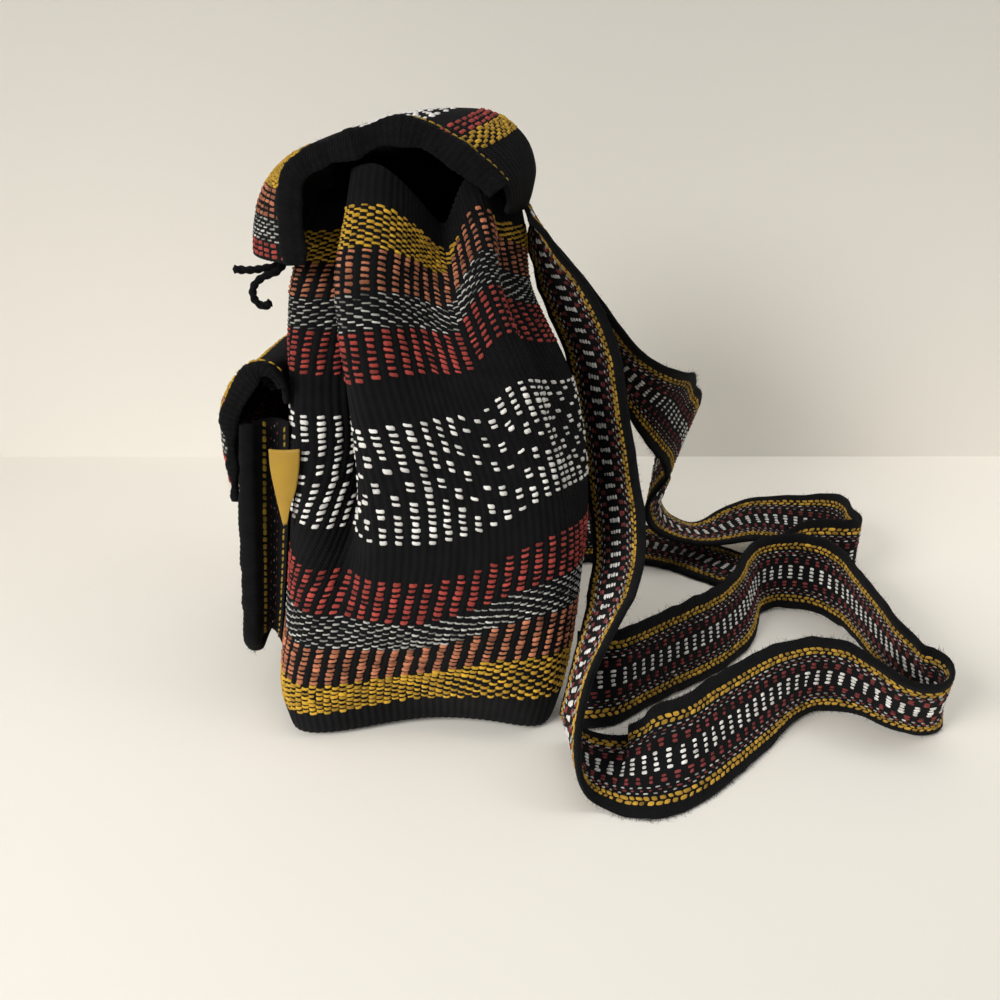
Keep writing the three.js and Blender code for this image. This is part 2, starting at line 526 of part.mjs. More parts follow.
// Pocket gusset: webbing round the panel's sides and bottom, folded inward between panel and bag.
function gussetRings() {
  const inset = CLOTH / 2 + SEAM_GAP;
  const lower = POCKET_LOW + POCKET_CORNER;
  const straight = POCKET_HALF - POCKET_CORNER;
  const stops = [];
  for (let i = 0; i < GUSSET_SIDE_STEPS; i += 1) {
    const z = POCKET_HIGH + (lower - POCKET_HIGH) * (i / GUSSET_SIDE_STEPS);
    stops.push({ y: -POCKET_HALF, z, in: [1, 0] });
  }
  for (let i = 0; i <= GUSSET_CORNER_STEPS; i += 1) {
    const turn = (i / GUSSET_CORNER_STEPS) * (Math.PI / 2);
    const [c, s] = [Math.cos(turn), Math.sin(turn)];
    stops.push({ y: -straight - POCKET_CORNER * c, z: lower - POCKET_CORNER * s, in: [c, s] });
  }
  for (let i = 1; i <= GUSSET_FLOOR_STEPS; i += 1) {
    stops.push({ y: -straight + straight * (i / GUSSET_FLOOR_STEPS), z: POCKET_LOW, in: [0, 1] });
  }
  const mirrored = stops.slice(0, -1).reverse().map((p) => ({ y: -p.y, z: p.z, in: [-p.in[0], p.in[1]] }));
  return [...stops, ...mirrored].map((stop) => {
    const wall = wallX(-1, stop.y, stop.z) - GUSSET_GAP;
    const panel = wallX(-1, stop.y, stop.z) - column(POCKET_ROWS, "z", "out", stop.z) + inset;
    const place = (share, layer) => {
      const tuck = POCKET_TUCK * Math.sin(Math.PI * share) + layer;
      return vector(panel + (wall - panel) * share, stop.y + stop.in[0] * tuck, stop.z + stop.in[1] * tuck);
    };
    const inside = GUSSET_SHARES.map((s) => place(s, WEBBING));
    return [...inside, ...GUSSET_SHARES.map((s) => place(s, 0)).reverse()];
  });
}

// Label: a small tongue of tape, wide at its seam and drooping to one corner.
function labelSurface(u, v) {
  const [z, inX, outX, y] = ["z", "inX", "outX", "y"].map((n) => along(LABEL_ROWS, n, u));
  return vector(outX + (inX - outX) * v, y - LABEL_BOW * (inX - outX) * Math.sin(Math.PI * v), z);
}

// A strap: a flat band along its route, with softened edges.
function strapRings(rows) {
  const steps = Math.round(rows.length * STRAP_STEPS_PER_ROW);
  const place = (t) => vector(...["x", "y", "z"].map((n) => along(rows, n, t)));
  const rings = [];
  for (let i = 0; i <= steps; i += 1) {
    const t = i / steps;
    const edge = place(t);
    const run = place(Math.min(1, t + 2e-3)).sub(place(Math.max(0, t - 2e-3))).normalize();
    const across = vector(...["wx", "wy", "wz"].map((n) => along(rows, n, t)));
    across.addScaledVector(run, -(1 - STRAP_SLANT) * across.dot(run)).normalize();
    const face = across.clone().cross(run).normalize();
    const put = (a, b) =>
      edge.clone().addScaledVector(across, a * STRAP_WIDTH).addScaledVector(face, (b * WEBBING) / 2);
    rings.push([
      put(0, 0.5), put(0.02, 1), put(0.98, 1), put(1, 0.5),
      put(1, -0.5), put(0.98, -1), put(0.02, -1), put(0, -0.5),
    ]);
  }
  return rings;
}

// A free end of the drawstring.
function cordGeometry(rows) {
  const curve = new THREE.CatmullRomCurve3(rows.map((r) => vector(r.x, r.y, r.z)));
  const section = new THREE.Shape();
  for (let i = 0; i < CORD_SIDES; i += 1) {
    const angle = (2 * Math.PI * i) / CORD_SIDES;
    const point = [(CORD / 2) * Math.cos(angle), (CORD / 2) * Math.sin(angle)];
    if (i) section.lineTo(...point);
    else section.moveTo(...point);
  }
  section.closePath();
  const steps = rows.length * CORD_STEPS_PER_ROW;
  return new THREE.ExtrudeGeometry(section, { extrudePath: curve, steps, curveSegments: 1 });
}

const bag = new THREE.Group();

function add(name, geometry, finish) {
  const mesh = new THREE.Mesh(geometry, new THREE.MeshStandardMaterial(finish));
  mesh.name = name;
  bag.add(mesh);
}

add("bag_body", bagBody(), YARN_MIXED);
add("top_flap", loft(clothRings(flapSurface, FLAP_LONG_STEPS, FLAP_CROSS_STEPS, CLOTH)), YARN_MIXED);
const flapDeep = () => BINDING_DEEP;
const pocketDeep = (u) => along(POCKET_FLAP_ROWS, "deep", u);
const flapBinding = (side) =>
  loft(bindingRings(flapSurface, side, FLAP_BINDING_FROM, FLAP_LONG_STEPS, flapDeep));
const pocketBinding = (side) =>
  loft(bindingRings(pocketFlapSurface, side, POCKET_BINDING_FROM, POCKET_FLAP_STEPS, pocketDeep));
add("flap_binding_near", flapBinding(-1), YARN_BLACK);
add("flap_binding_far", flapBinding(1), YARN_BLACK);
add("pocket_front", loft(clothRings(pocketFrontSurface, POCKET_STEPS, POCKET_STEPS, CLOTH)), YARN_MIXED);
add("pocket_gusset", loft(gussetRings()), YARN_STRAP);
add("pocket_flap", loft(clothRings(pocketFlapSurface, POCKET_FLAP_STEPS, POCKET_STEPS, CLOTH)), YARN_MIXED);
add("pocket_flap_binding_near", pocketBinding(-1), YARN_BLACK);
add("pocket_flap_binding_far", pocketBinding(1), YARN_BLACK);
const labelRings = clothRings(labelSurface, LABEL_LONG_STEPS, LABEL_CROSS_STEPS, LABEL_THICK);
add("label", loft(labelRings), LABEL_YELLOW);
add("strap_near", loft(strapRings(STRAP_NEAR)), YARN_STRAP);
add("strap_far", loft(strapRings(STRAP_FAR)), YARN_STRAP);
add("drawstring_end_upper", cordGeometry(CORD_UPPER), YARN_BLACK);
add("drawstring_end_lower", cordGeometry(CORD_LOWER), YARN_BLACK);

export default bag;
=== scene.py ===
"""Looks of a small hand-woven drawstring backpack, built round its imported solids.

Lengths in the tables are millimetres in the shared frame: +Z up, +X the back of the bag, -Y its near side.
A cloth is a grid of points over (column, height): columns count the ribs across, heights run along the ribs.
"""

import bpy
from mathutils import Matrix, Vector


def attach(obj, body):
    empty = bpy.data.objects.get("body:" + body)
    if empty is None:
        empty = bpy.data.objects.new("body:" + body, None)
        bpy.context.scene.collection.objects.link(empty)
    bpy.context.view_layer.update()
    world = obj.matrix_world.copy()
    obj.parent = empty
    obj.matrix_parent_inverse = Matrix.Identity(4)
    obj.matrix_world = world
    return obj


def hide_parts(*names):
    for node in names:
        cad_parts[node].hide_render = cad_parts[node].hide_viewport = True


bl_info = {
    "name": "Woven Drawstring Backpack",
    "version": (1, 0, 0),
    "blender": (4, 5, 0),
    "location": "View3D > Sidebar > Backpack",
    "description": "Builds the cloth, webbing and cords of a hand-woven backpack over its solids",
    "category": "Object",
}

import bpy
import numpy as np
from bpy.props import FloatProperty, FloatVectorProperty, IntProperty, PointerProperty

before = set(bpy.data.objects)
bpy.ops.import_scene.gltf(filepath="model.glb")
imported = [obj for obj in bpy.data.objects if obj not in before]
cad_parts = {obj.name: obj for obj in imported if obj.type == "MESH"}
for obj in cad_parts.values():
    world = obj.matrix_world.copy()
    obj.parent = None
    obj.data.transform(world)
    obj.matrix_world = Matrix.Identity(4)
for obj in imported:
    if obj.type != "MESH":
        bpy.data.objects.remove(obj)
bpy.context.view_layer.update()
MM = 0.001
TURN = 2 * np.pi


def table(names, *rows):
    """Named columns of a short table."""
    return dict(zip(names.split(), np.array(rows, float).T))


# The bag's outline from its base edge to the rim, and the folds of its gathered cloth. They are as in the
# solids but for the first fold, which is deeper and nearer the front here, and the last buckle, a bulge
# beside the near strap.
SECTIONS = table(
    "rise z front back half power",
    (0.0, 1.2, -66, 60, 94, 8),
    (0.07, 19, -69, 64, 96, 7),
    (0.2, 54, -66, 70, 96, 5),
    (0.38, 100, -62, 73, 94, 4.2),
    (0.58, 148, -60, 63.4, 88, 3.8),
    (0.78, 192, -59, 46.5, 78, 3.2),
    (0.92, 217, -54, 44.5, 68, 2.8),
    (1.0, 232, -50, 42, 63, 2.6),
)
VALLEYS = table(
    "at lean wide deep low high",
    (0.647, 0.045, 11, 34, 0.12, 0.55),
    (0.795, -0.1, 14, 14, 0.45, 0.95),
    (0.885, -0.02, 12, 7, 0.2, 0.8),
    (0.725, 0.0, 20, -5, 0.3, 0.8),
    (0.045, 0.05, 9, 4, 0.3, 0.75),
    (0.125, 0.01, 11, 8, 0.25, 0.85),
    (0.205, 0.03, 12, 13, 0.3, 0.9),
    (0.285, -0.03, 12, 13, 0.35, 0.9),
    (0.352, -0.01, 10, 12, 0.25, 0.8),
    (0.452, 0.0, 9, 7, 0.68, 0.95),
    (0.548, 0.0, 9, 7, 0.68, 0.95),
)
HEIGHTS = table(
    "at rim base",
    (0.0, -8, 2),
    (0.1, -4, 0),
    (0.2, 8, 4),
    (0.29, 9, 6),
    (0.37, 8, 0),
    (0.5, -6, 2),
    (0.635, -3, 0),
    (0.677, 8, 1),
    (0.73, 11, 2),
    (0.8, -12, 3),
    (0.832, 7, 2),
    (0.88, 0, 0),
)
BUCKLES = table(
    "at rise wide tall deep",
    (0.735, 0.1, 26, 0.09, 7),
    (0.77, 0.0, 42, 0.07, 11),
    (0.26, 0.06, 40, 0.1, 8),
    (0.02, 0.16, 36, 0.12, 5),
    (0.93, 0.6, 18, 0.17, -4),
)
# Top flap from its seam on the back wall to its front hem: side edge, middle line, half width and how much
# lower its far edge hangs.
FLAP_ROWS = table(
    "edge_x edge_z crown_x crown_z half far_drop",
    (35.2, 224, 44.6, 223.6, 46, 0),
    (36.6, 230, 46.6, 230.5, 56, 1),
    (34, 237, 47.6, 240, 62, 3),
    (26, 244.5, 43, 251, 63, 7),
    (14, 253, 31, 260, 64, 11),
    (2, 258.4, 15, 262, 64, 13),
    (-10, 259, -5, 260.6, 64, 13),
    (-24, 254.4, -22, 256.6, 64, 11),
    (-38, 249.8, -40, 251, 64, 8),
    (-48, 243, -57, 243, 64, 5),
    (-51.5, 232, -68, 232.4, 63, 2),
    (-52, 219, -74, 218.4, 62, 0),
    (-51.5, 206, -76, 204.4, 61, 0),
)
POCKET_ROWS = table("z out", (28, 14), (50, 16), (100, 19), (140, 19))
# Pocket flap from its seam to its hem: half width, how much higher its near edge stands, how far its side
# edges turn back and the depth of the binding along them.
POCKET_FLAP_ROWS = table(
    "out z half puff tuck deep",
    (2.2, 149, 66, 0, 0, 4),
    (2.4, 151.5, 66, 3, 0, 4),
    (4, 153.4, 66, 6.6, 0, 4.5),
    (7.4, 154.2, 66, 10.2, 0, 5),
    (12.4, 153.6, 66, 12.2, 0, 6),
    (17.4, 151.6, 66, 11.8, 0, 7.5),
    (22.6, 148.4, 66, 9.6, 0.5, 8.5),
    (27.4, 144, 65, 7.4, 2, 8),
    (31, 138, 63.4, 5.4, 3.4, 6),
    (33, 130.4, 62, 3.6, 6, 4.4),
    (33.4, 121.6, 61, 2, 6.6, 3.4),
    (32, 112.4, 60.4, 0.8, 5, 3.2),
    (29, 104, 60, 0, 1.6, 3.2),
)
LABEL_ROWS = table(
    "z in_x out_x y",
    (132, -50.5, -63.4, -74.5),
    (124, -51.2, -63.2, -75.5),
    (115, -53, -62, -76.5),
    (107, -56, -60.8, -77.1),
    (99, -58, -59.6, -77.1),
)
# Routes of the straps: a place on the band's lower edge and the direction across to its other edge.
STRAP_NEAR = table(
    "x y z wx wy wz",
    (45.4, -46, 221.6, -0.01, 1, 0),
    (51.5, -45.5, 215.5, 0, 0.99, -0.1),
    (59, -42, 206, -0.2, 0.96, -0.16),
    (68.5, -39, 196, -0.38, 0.9, -0.16),
    (79.5, -33, 178, -0.5, 0.85, -0.16),
    (87, -31, 158, -0.5, 0.86, -0.1),
    (91, -33, 136, -0.48, 0.87, -0.08),
    (95, -43, 113, -0.44, 0.89, -0.12),
    (97, -59, 96, -0.38, 0.9, -0.2),
    (95.5, -77, 83, -0.3, 0.9, -0.28),
    (90, -94, 75, -0.22, 0.88, -0.36),
    (83, -106, 69, -0.16, 0.86, -0.44),
    (76, -117, 63, -0.12, 0.84, -0.5),
    (70, -127, 56, -0.1, 0.84, -0.54),
    (66, -136, 47, -0.1, 0.86, -0.5),
    (64, -142, 36, -0.09, 0.9, -0.41),
    (64, -144, 25, -0.05, 0.94, -0.29),
    (66, -143, 14, 0.0, 0.98, -0.16),
    (70, -142, 6, 0.08, 0.99, 0),
    (76, -143, 2.4, 0.16, 0.97, 0.12),
    (84, -146, 1, -0.04, 0.92, 0.3),
    (94.5, -147.6, 1, 0.12, 0.77, 0.56),
    (106, -143.6, 1, 0.12, 0.6, 0.76),
    (117, -136, 1, 0, 0.48, 0.86),
    (127, -127, 1, -0.1, 0.42, 0.9),
    (138, -116, 1, -0.1, 0.38, 0.92),
    (153, -99, 1, -0.1, 0.24, 0.96),
    (167, -82, 1, -0.08, -0.04, 1),
    (179, -73, 1, -0.06, -0.2, 0.97),
    (190, -71, 1, -0.04, -0.28, 0.96),
    (201, -76, 1, -0.06, -0.4, 0.91),
    (211, -85, 1, -0.1, -0.48, 0.86),
    (221, -90, 1, -0.16, -0.46, 0.86),
    (230, -89, 1, -0.26, -0.36, 0.88),
    (235, -83, 1, -0.32, -0.2, 0.92),
    (234, -74, 1, -0.32, -0.1, 0.94),
    (229, -61, 1, -0.28, -0.04, 0.96),
    (226, -44, 1, -0.22, -0.02, 0.97),
    (223.5, -28, 1, -0.18, 0, 0.98),
    (222, -12, 1, -0.16, 0.02, 0.98),
    (219, 6, 1, -0.12, 0.06, 0.98),
    (211, 20, 1, -0.08, 0.08, 0.98),
    (199, 27, 1, -0.04, 0.06, 0.99),
    (187, 28, 1, -0.04, 0.02, 0.99),
    (177, 21, 1, -0.1, 0.04, 0.98),
    (172, 7, 1, -0.2, 0.08, 0.97),
    (166, -9, 1, -0.22, 0.1, 0.96),
    (155, -25, 1, -0.18, 0.1, 0.97),
    (139, -41, 1, -0.1, 0.12, 0.98),
    (118, -57, 1, -0.06, 0.12, 0.98),
    (101, -70, 1, -0.02, 0.12, 0.98),
    (88, -81, 1, 0, 0.2, 0.97),
    (76, -87, 1, 0.04, 0.42, 0.91),
    (66, -87, 1, 0.12, 0.54, 0.83),
)
STRAP_FAR = table(
    "x y z wx wy wz",
    (44.8, 46.4, 222.4, 0, -1, 0),
    (54, 46.4, 193, 0.08, -0.94, 0.3),
    (71, 42, 162, 0.12, -0.86, 0.5),
    (87, 38, 135, 0.16, -0.78, 0.6),
    (100, 36, 113, 0.2, -0.5, 0.82),
    (109, 37, 98, 0.24, -0.16, 0.94),
    (116, 41, 88, 0.3, 0.06, 0.94),
    (122, 48, 80, 0.34, 0.14, 0.92),
    (126, 56, 71, 0.34, 0.22, 0.9),
    (127, 63, 63, 0.34, 0.3, 0.88),
    (122, 67, 53, 0.32, 0.52, 0.78),
    (118, 68, 42.5, 0.32, 0.74, 0.58),
    (121, 68, 33, 0.34, 0.88, 0.28),
    (129, 69, 26.5, 0.18, 0.97, 0.08),
    (141, 70, 22, 0.06, 0.99, -0.06),
    (156, 71, 19.5, 0, 0.99, -0.12),
    (171, 75, 19, 0, 0.99, -0.08),
    (188, 81, 18, 0.02, 0.98, 0.1),
    (205, 84, 13, 0.03, 0.92, 0.36),
    (221, 80, 6, 0.03, 0.7, 0.7),
    (233, 70, 1.4, 0.02, 0.24, 0.97),
    (238, 56, 1, 0, -0.02, 1),
    (231, 45, 1, 0, 0.1, 1),
    (214, 40, 1, 0.02, 0.46, 0.88),
    (197, 40, 1, 0.1, 0.88, 0.42),
    (180, 43, 1.2, 0.24, 0.95, 0.1),
    (164, 51, 1.4, 0.52, 0.84, 0.06),
    (150, 63, 1.4, 0.7, 0.7, 0.04),
    (137, 75, 1.4, 0.6, 0.8, 0.05),
    (121, 83, 1.4, 0.2, 0.97, 0.1),
    (105, 86, 1.2, -0.05, 0.9, 0.4),
    (90, 86, 1, -0.08, 0.66, 0.74),
    (76, 84, 1, -0.05, 0.4, 0.91),
    (63, 80, 1, 0, 0.24, 0.97),
)
# Free ends of the drawstring, from the front of the hem to their tips.
CORD_UPPER = table(
    "x y z",
    (-53.5, -30, 209.4),
    (-57, -33, 204.5),
    (-61, -36, 201.5),
    (-67, -38.5, 200.5),
    (-73, -40, 200),
    (-79, -41, 200.5),
)
CORD_LOWER = table(
    "x y z",
    (-54.2, -36.5, 208.4),
    (-58.4, -39.5, 202.5),
    (-61.5, -42, 199.5),
    (-67, -43.5, 197.5),
    (-71, -44, 193.5),
    (-71, -44, 188.5),
    (-67.5, -44, 185.5),
    (-64.5, -44, 187),
)
POCKET_HALF = 65
POCKET_LOW = 28
POCKET_HIGH = 140
POCKET_CORNER = 12
POCKET_TUCK = 7  # how far the gusset folds in between panel and bag
GUSSET_GAP = 1.4
GUSSET_STEPS = 17
GUSSET_PLACES = 22.0  # places across the gusset that its threads are counted in
SIDE_STEPS = 40  # points of the pocket's edge: down a side, round a corner and along half its floor
CORNER_STEPS = 12
FLOOR_STEPS = 19
ROLL_HALF = 3.9  # half sizes of the roll along the pocket's edge, front to back and outward
ROLL_HIGH = 3.1
ROLL_OUT = 0.4
ROLL_SIDES = 20
ROLL_UNEVEN = 0.35
FLAP_CROWN = 2.4  # powers of the flaps' arch, turned sides and puffed near edge
POCKET_FLAP_TURN = 4
POCKET_FLAP_PUFF = 3
FLAP_COLUMNS = 41
POCKET_COLUMNS = 42
FLAP_STEPS = 72  # points of the sheets along their ribs, and across the pocket's ribs
POCKET_FLAP_STEPS = 56
POCKET_STEPS = 48
POCKET_COLUMN_STEPS = 3
POCKET_STRIPES_HIGH = 140  # about the height of the pocket panel's stripes, its bare margin and lowest row
POCKET_MARGIN = 8
POCKET_FIRST = 3.0
FLAP_BINDING_FROM = 0.17  # shares of the flaps' lengths where their bindings begin
POCKET_BINDING_FROM = 0.12
BINDING_STEPS = 300
BINDING_SIDES = 24
BINDING_UNEVEN = 0.6
BINDING_GAP = 1.2
BINDING_DEEP = 9.4
BINDING_OUT = 1.6  # the binding's profile: its middle out from the gap, half width, top and plumpness
BINDING_HALF = 1.85
BINDING_TOP = 1.7
BINDING_PLUMP = 0.4
LINE_UP = 2.5  # the yarn line on a binding: up from the edge, out from the gap and its picks' spacing
LINE_OUT = 0.6
LINE_APART = 3.1
LINE_PICK = (0.9, 2.8, 0.7)  # width in columns, length and thickness
STRAP_SLANT = 0.5
STRAP_STEP = 2.2
STRAP_EDGES = (0, 0.004, 0.016)  # shares of the strap's width where its rounded edge has points
STRAP_ROLL = 0.35  # swelling of the strap's edges, its place from the edge and its width
STRAP_ROLL_AT = 2.4
STRAP_ROLL_WIDE = 2.2
STRAP_UNEVEN = 0.35
WRAP_HIGH = 0.12  # ridges of the yarn wound round the black edges
WRAP_APART = 2.8
LABEL_BOW = 0.09
LABEL_THICK = 0.9
LABEL_LENGTH = 33
PILL_ACROSS = (-1, -0.6, 0.6, 1)  # places of a pick's points across it, and up it
PILL_UP = (-1, -0.55, 0.55, 1)
BAG_ROWS = 97
COLUMN_STEPS = 4  # points of the bag and the top flap to a rib
BASE_SHARES = (0.12, 0.4, 0.7, 0.82, 0.9, 0.96)  # rings of the base, from its middle to its edge
BASE_REACH = 80
INNER_ROWS = np.r_[0:6, 6:96:8, 96, 99, 101, 102]  # rows of the outer face that the inner face has too
HEM_FROM = 0.945
LEAN = 0.014  # share of the way round that the ribs lean at the motif's lower edge, eased in and out by rise
LEAN_IN = (0.08, 0.36)
LEAN_OUT = (0.66, 0.42)
CORD_STEPS = 60
CORD_SIDES = 20
CORD_LAY = 7  # length of one turn of the drawstring's strands
NEAR_FIBRES = 6000  # loose fibres along each strap, each binding and the pocket's roll
FAR_FIBRES = 3000
BINDING_FIBRES = 1600
ROLL_FIBRES = 1800
FIBRE_THICK = 0.06
STAGE_HALF = 3000
STAGE_WALL = 279
STAGE_HIGH = 2400
CAMERA_PLACE = (33, -468, 272)
CAMERA_PITCH = 67.5
CAMERA_LENS = 36
CAMERA_SENSOR = 36
# Area lamps: place and target in metres, size, power, spread in degrees and tint.
LAMPS = {
    "key": ((-1.05, -1.2, 0.85), (-0.17, -0.2, -0.1), 0.75, 4.15, 58, (1.0, 0.985, 0.96)),
    "fill": ((0.95, -0.05, 1.0), (0.44, 0.22, 0.0), 0.8, 0.7, 50, (1.0, 0.99, 0.97)),
    "top": ((0.3, 0.0, 1.5), (0.28, 0.02, 0.0), 1.2, 0.95, 60, (1.0, 0.99, 0.97)),
}

# Stripes of the cloth up from the base edge: how its weft shows, its yarn and its height.
STRIPES = (
    ("plain", "black", 14.0),
    ("brick", "yellow", 18.0),
    ("rib", "orange", 20.0),
    ("dash", "grey", 16.0),
    ("rib", "red", 20.5),
    ("plain", "black", 16.5),
    ("motif", "white", 51.0),
    ("plain", "black", 17.5),
    ("rib", "red", 20.0),
    ("dash", "grey", 15.0),
    ("rib", "orange", 19.0),
    ("brick", "yellow", 19.0),
    ("plain", "black", 15.0),
)
POCKET_STRIPES = STRIPES[3:9]  # from the lower grey stripe to the upper red one
# The top flap's stripes from its seam to its front hem, and the pocket flap's.
FLAP_STRIPES = (
    ("plain", "black", 52.0),
    ("brick", "yellow", 9.0),
    ("rib", "red", 9.0),
    ("plain", "black", 8.0),
    ("motif", "white", 30.0),
    ("plain", "black", 24.0),
    ("brick", "yellow", 21.0),
    ("rib", "orange", 14.0),
    ("dash", "grey", 11.0),
    ("rib", "red", 8.0),
    ("plain", "black", 1.0),
)
POCKET_FLAP_STRIPES = (
    ("plain", "black", 34.0),
    ("brick", "yellow", 12.0),
    ("rib", "orange", 10.0),
    ("dash", "grey", 9.0),
    ("rib", "red", 9.0),
    ("plain", "black", 3.0),
)
# One pick of each kind: rows apart in millimetres, its width in columns, its height and its thickness.
PICKS = {
    "brick": (1.36, 1.1, 1.9, 1.0),
    "dash": (1.65, 1.05, 1.1, 0.8),
    "rib": (2.6, 1.1, 2.2, 1.0),
    "motif": (2.83, 1.0, 2.3, 1.1),
}
# How far the woven rows slip up the ribs round the bag, at the levels SLIP_LEVELS above its base edge.
SLIP_LEVELS = (0, 25, 60, 97, 165, 203, 262)
SLIP = table(
    "at base hem low under over high rim",
    (0.0, 0, 0, 0, 0, 0, 0, 0),
    (0.25, 0, 0, 0, 0, 0, 0, 0),
    (0.5, 0, 0, 0, 0, 0, 0, 0),
    (0.6, 0, -2, -4, -5, -6, -4, 0),
    (0.65, 0, -4, -8, -10.5, -11, -7, 0),
    (0.7, 0, -3, -9, -11, -11.5, -8, 0),
    (0.735, 0, -1, -11, -10.5, -6.5, -4.5, 0),
    (0.765, 0, 3, -5, -3.5, -1, -0.5, 0),
    (0.797, 0, 9, 5, 5, 6, 3, 0),
    (0.815, 0, 9, 7, 7, 9, 12, 14),
    (0.832, 0, 9, 8, 9, 10, 15, 24),
    (0.865, 0, 7, 7, 8, 8, 15, 26),
    (0.91, 0, 4, 5, 5, 4, 6, 12),
)
# Threads of the strap from one edge to its middle: place across, yarn, length, spacing, phase, width, slant.
STRAP_THREADS = (
    (5.9, "mustard", 3.1, 3.4, 0.0, 1.9, 0.2),
    (8.0, "mustard", 3.1, 3.4, 0.5, 1.9, -0.2),
    (10.0, "grey", 2.3, 4.1, 0.0, 0.7, 0.0),
    (11.2, "maroon", 2.0, 4.1, 0.5, 0.7, 0.0),
    (12.5, "grey", 2.3, 4.1, 0.3, 0.7, 0.0),
    (14.6, "maroon", 2.8, 5.9, 0.5, 1.5, 0.0),
    (16.4, "maroon", 2.8, 5.9, 0.5, 1.5, 0.0),
    (19.2, "white", 2.8, 5.9, 0.0, 1.6, 0.0),
    (21.4, "white", 2.8, 5.9, 0.0, 1.6, 0.0),
)
# Threads of the pocket's gusset from the panel to the bag, in the same columns.
GUSSET_THREADS = (
    (6.0, "olive", 3.2, 3.4, 0.0, 2.2, 0.2),
    (9.6, "maroon", 1.8, 4.6, 0.5, 0.6, 0.0),
    (11.6, "grey", 1.2, 6.4, 0.2, 0.5, 0.0),
    (13.4, "maroon", 1.8, 4.6, 0.0, 0.6, 0.0),
    (18.6, "olive", 3.0, 3.4, 0.5, 1.3, -0.2),
)


def through(keys, values, t, period=0.0):
    """A cubic through the rows of a table, in Hermite pieces with the slope between a row's neighbours."""
    t = np.asarray(t, float)
    if period:
        keys = np.concatenate([keys[-2:] - period, keys, keys[:2] + period])
        values = np.concatenate([values[-2:], values, values[:2]])
        t = (t - keys[2]) % period + keys[2]
    last = len(keys) - 1
    i = np.clip(np.searchsorted(keys, t, "right") - 1, 0, last - 1)
    before, after = np.maximum(i - 1, 0), np.minimum(i + 2, last)
    step = keys[i + 1] - keys[i]
    f = np.clip((t - keys[i]) / step, 0, 1)
    out = (values[i + 1] - values[before]) / (keys[i + 1] - keys[before]) * step
    into = (values[after] - values[i]) / (keys[after] - keys[i]) * step
    a, b = 2 * f**3 - 3 * f**2, f**3 - f**2
    return (a + 1) * values[i] + (b - f**2 + f) * out - a * values[i + 1] + b * into


def along(rows, names, share):
    """Columns of a table at a share of its length, each row the same share apart."""
    first = rows[names.split()[0]]
    return [through(np.linspace(0, 1, len(first)), rows[n], share) for n in names.split()]


def ease(low, high, t):
    """The smooth step 3f^2 - 2f^3 from low to high."""
    f = np.clip((t - low) / (high - low), 0, 1)
    return f * f * (3 - 2 * f)


def unit(v):
    return v / np.maximum(np.linalg.norm(v, axis=-1, keepdims=True), 1e-12)


def oval(value, power):
    """A signed power, for rounded-square profiles."""
    return np.sign(value) * np.abs(value) ** power


def evenly(lines, count):
    """Each polyline of an array (lines, points, 3) read at count + 1 places evenly apart by length."""
    steps = np.linalg.norm(np.diff(lines, axis=1), axis=2)
    run = np.concatenate([np.zeros((len(lines), 1)), np.cumsum(steps, axis=1)], axis=1)
    shift = 2.0 * np.arange(len(lines))[:, None]
    known = (run / run[:, -1:] + shift).ravel()
    asked = (np.linspace(0, 1, count + 1)[None] + shift).ravel()
    read = [np.interp(asked, known, lines[..., k].ravel()) for k in range(lines.shape[2])]
    return np.stack(read, -1).reshape(len(lines), count + 1, -1)


def even_quarters(rings, count):
    """Closed rings (rings, points, k) re-spaced evenly by length inside each quarter."""
    n, points, k = rings.shape
    shut = np.concatenate([rings, rings[:, :1]], axis=1)
    quarter = points // 4
    pick = np.arange(4)[:, None] * quarter + np.arange(quarter + 1)
    runs = evenly(shut[:, pick].reshape(n * 4, quarter + 1, k), count // 4)
    return runs[:, :-1].reshape(n, count, k)


def bag_rings(rise, count, fine=1440):
    """Outlines of the bag: superellipses, moved in along their normals by a bell-shaped valley for each fold
    and buckle, and lifted by the rim's heights times rise^2 and the base's heights times (1 - rise)^6."""
    z, front, back, half, power = (
        through(SECTIONS["rise"], SECTIONS[n], rise)[:, None] for n in ("z", "front", "back", "half", "power")
    )
    angle = TURN * np.arange(fine) / fine
    plain_x = (front + back) / 2 + (back - front) / 2 * oval(np.cos(angle), 2 / power)
    plain_y = half * oval(np.sin(angle), 2 / power)
    ring = even_quarters(np.stack([plain_x, plain_y], -1), fine)
    ahead = unit(np.roll(ring, -1, 1) - np.roll(ring, 1, 1))
    girth = np.linalg.norm(np.roll(ring, -1, 1) - ring, axis=2).sum(1)[:, None]
    place = np.arange(fine)[None] / fine
    high = rise[:, None]

    def apart(at):
        return (place - at - np.round(place - at)) * girth

    deep = np.zeros(ring.shape[:2])
    for at, lean, wide, depth, low, top in zip(*VALLEYS.values()):
        deep += depth * ease(low, top, high) * np.exp(-((apart(at + lean * (1 - high)) / wide) ** 2))
    for at, level, wide, tall, depth in zip(*BUCKLES.values()):
        deep += depth * np.exp(-((apart(at) / wide) ** 2) - ((high - level) / tall) ** 2)
    rim, base = (through(HEIGHTS["at"], HEIGHTS[n], place, 1.0) for n in ("rim", "base"))
    lift = rim * high**2 + base * (1 - high) ** 6
    x = ring[..., 0] - ahead[..., 1] * deep
    y = ring[..., 1] + ahead[..., 0] * deep
    return even_quarters(np.stack([x, y, z + lift], -1), count)


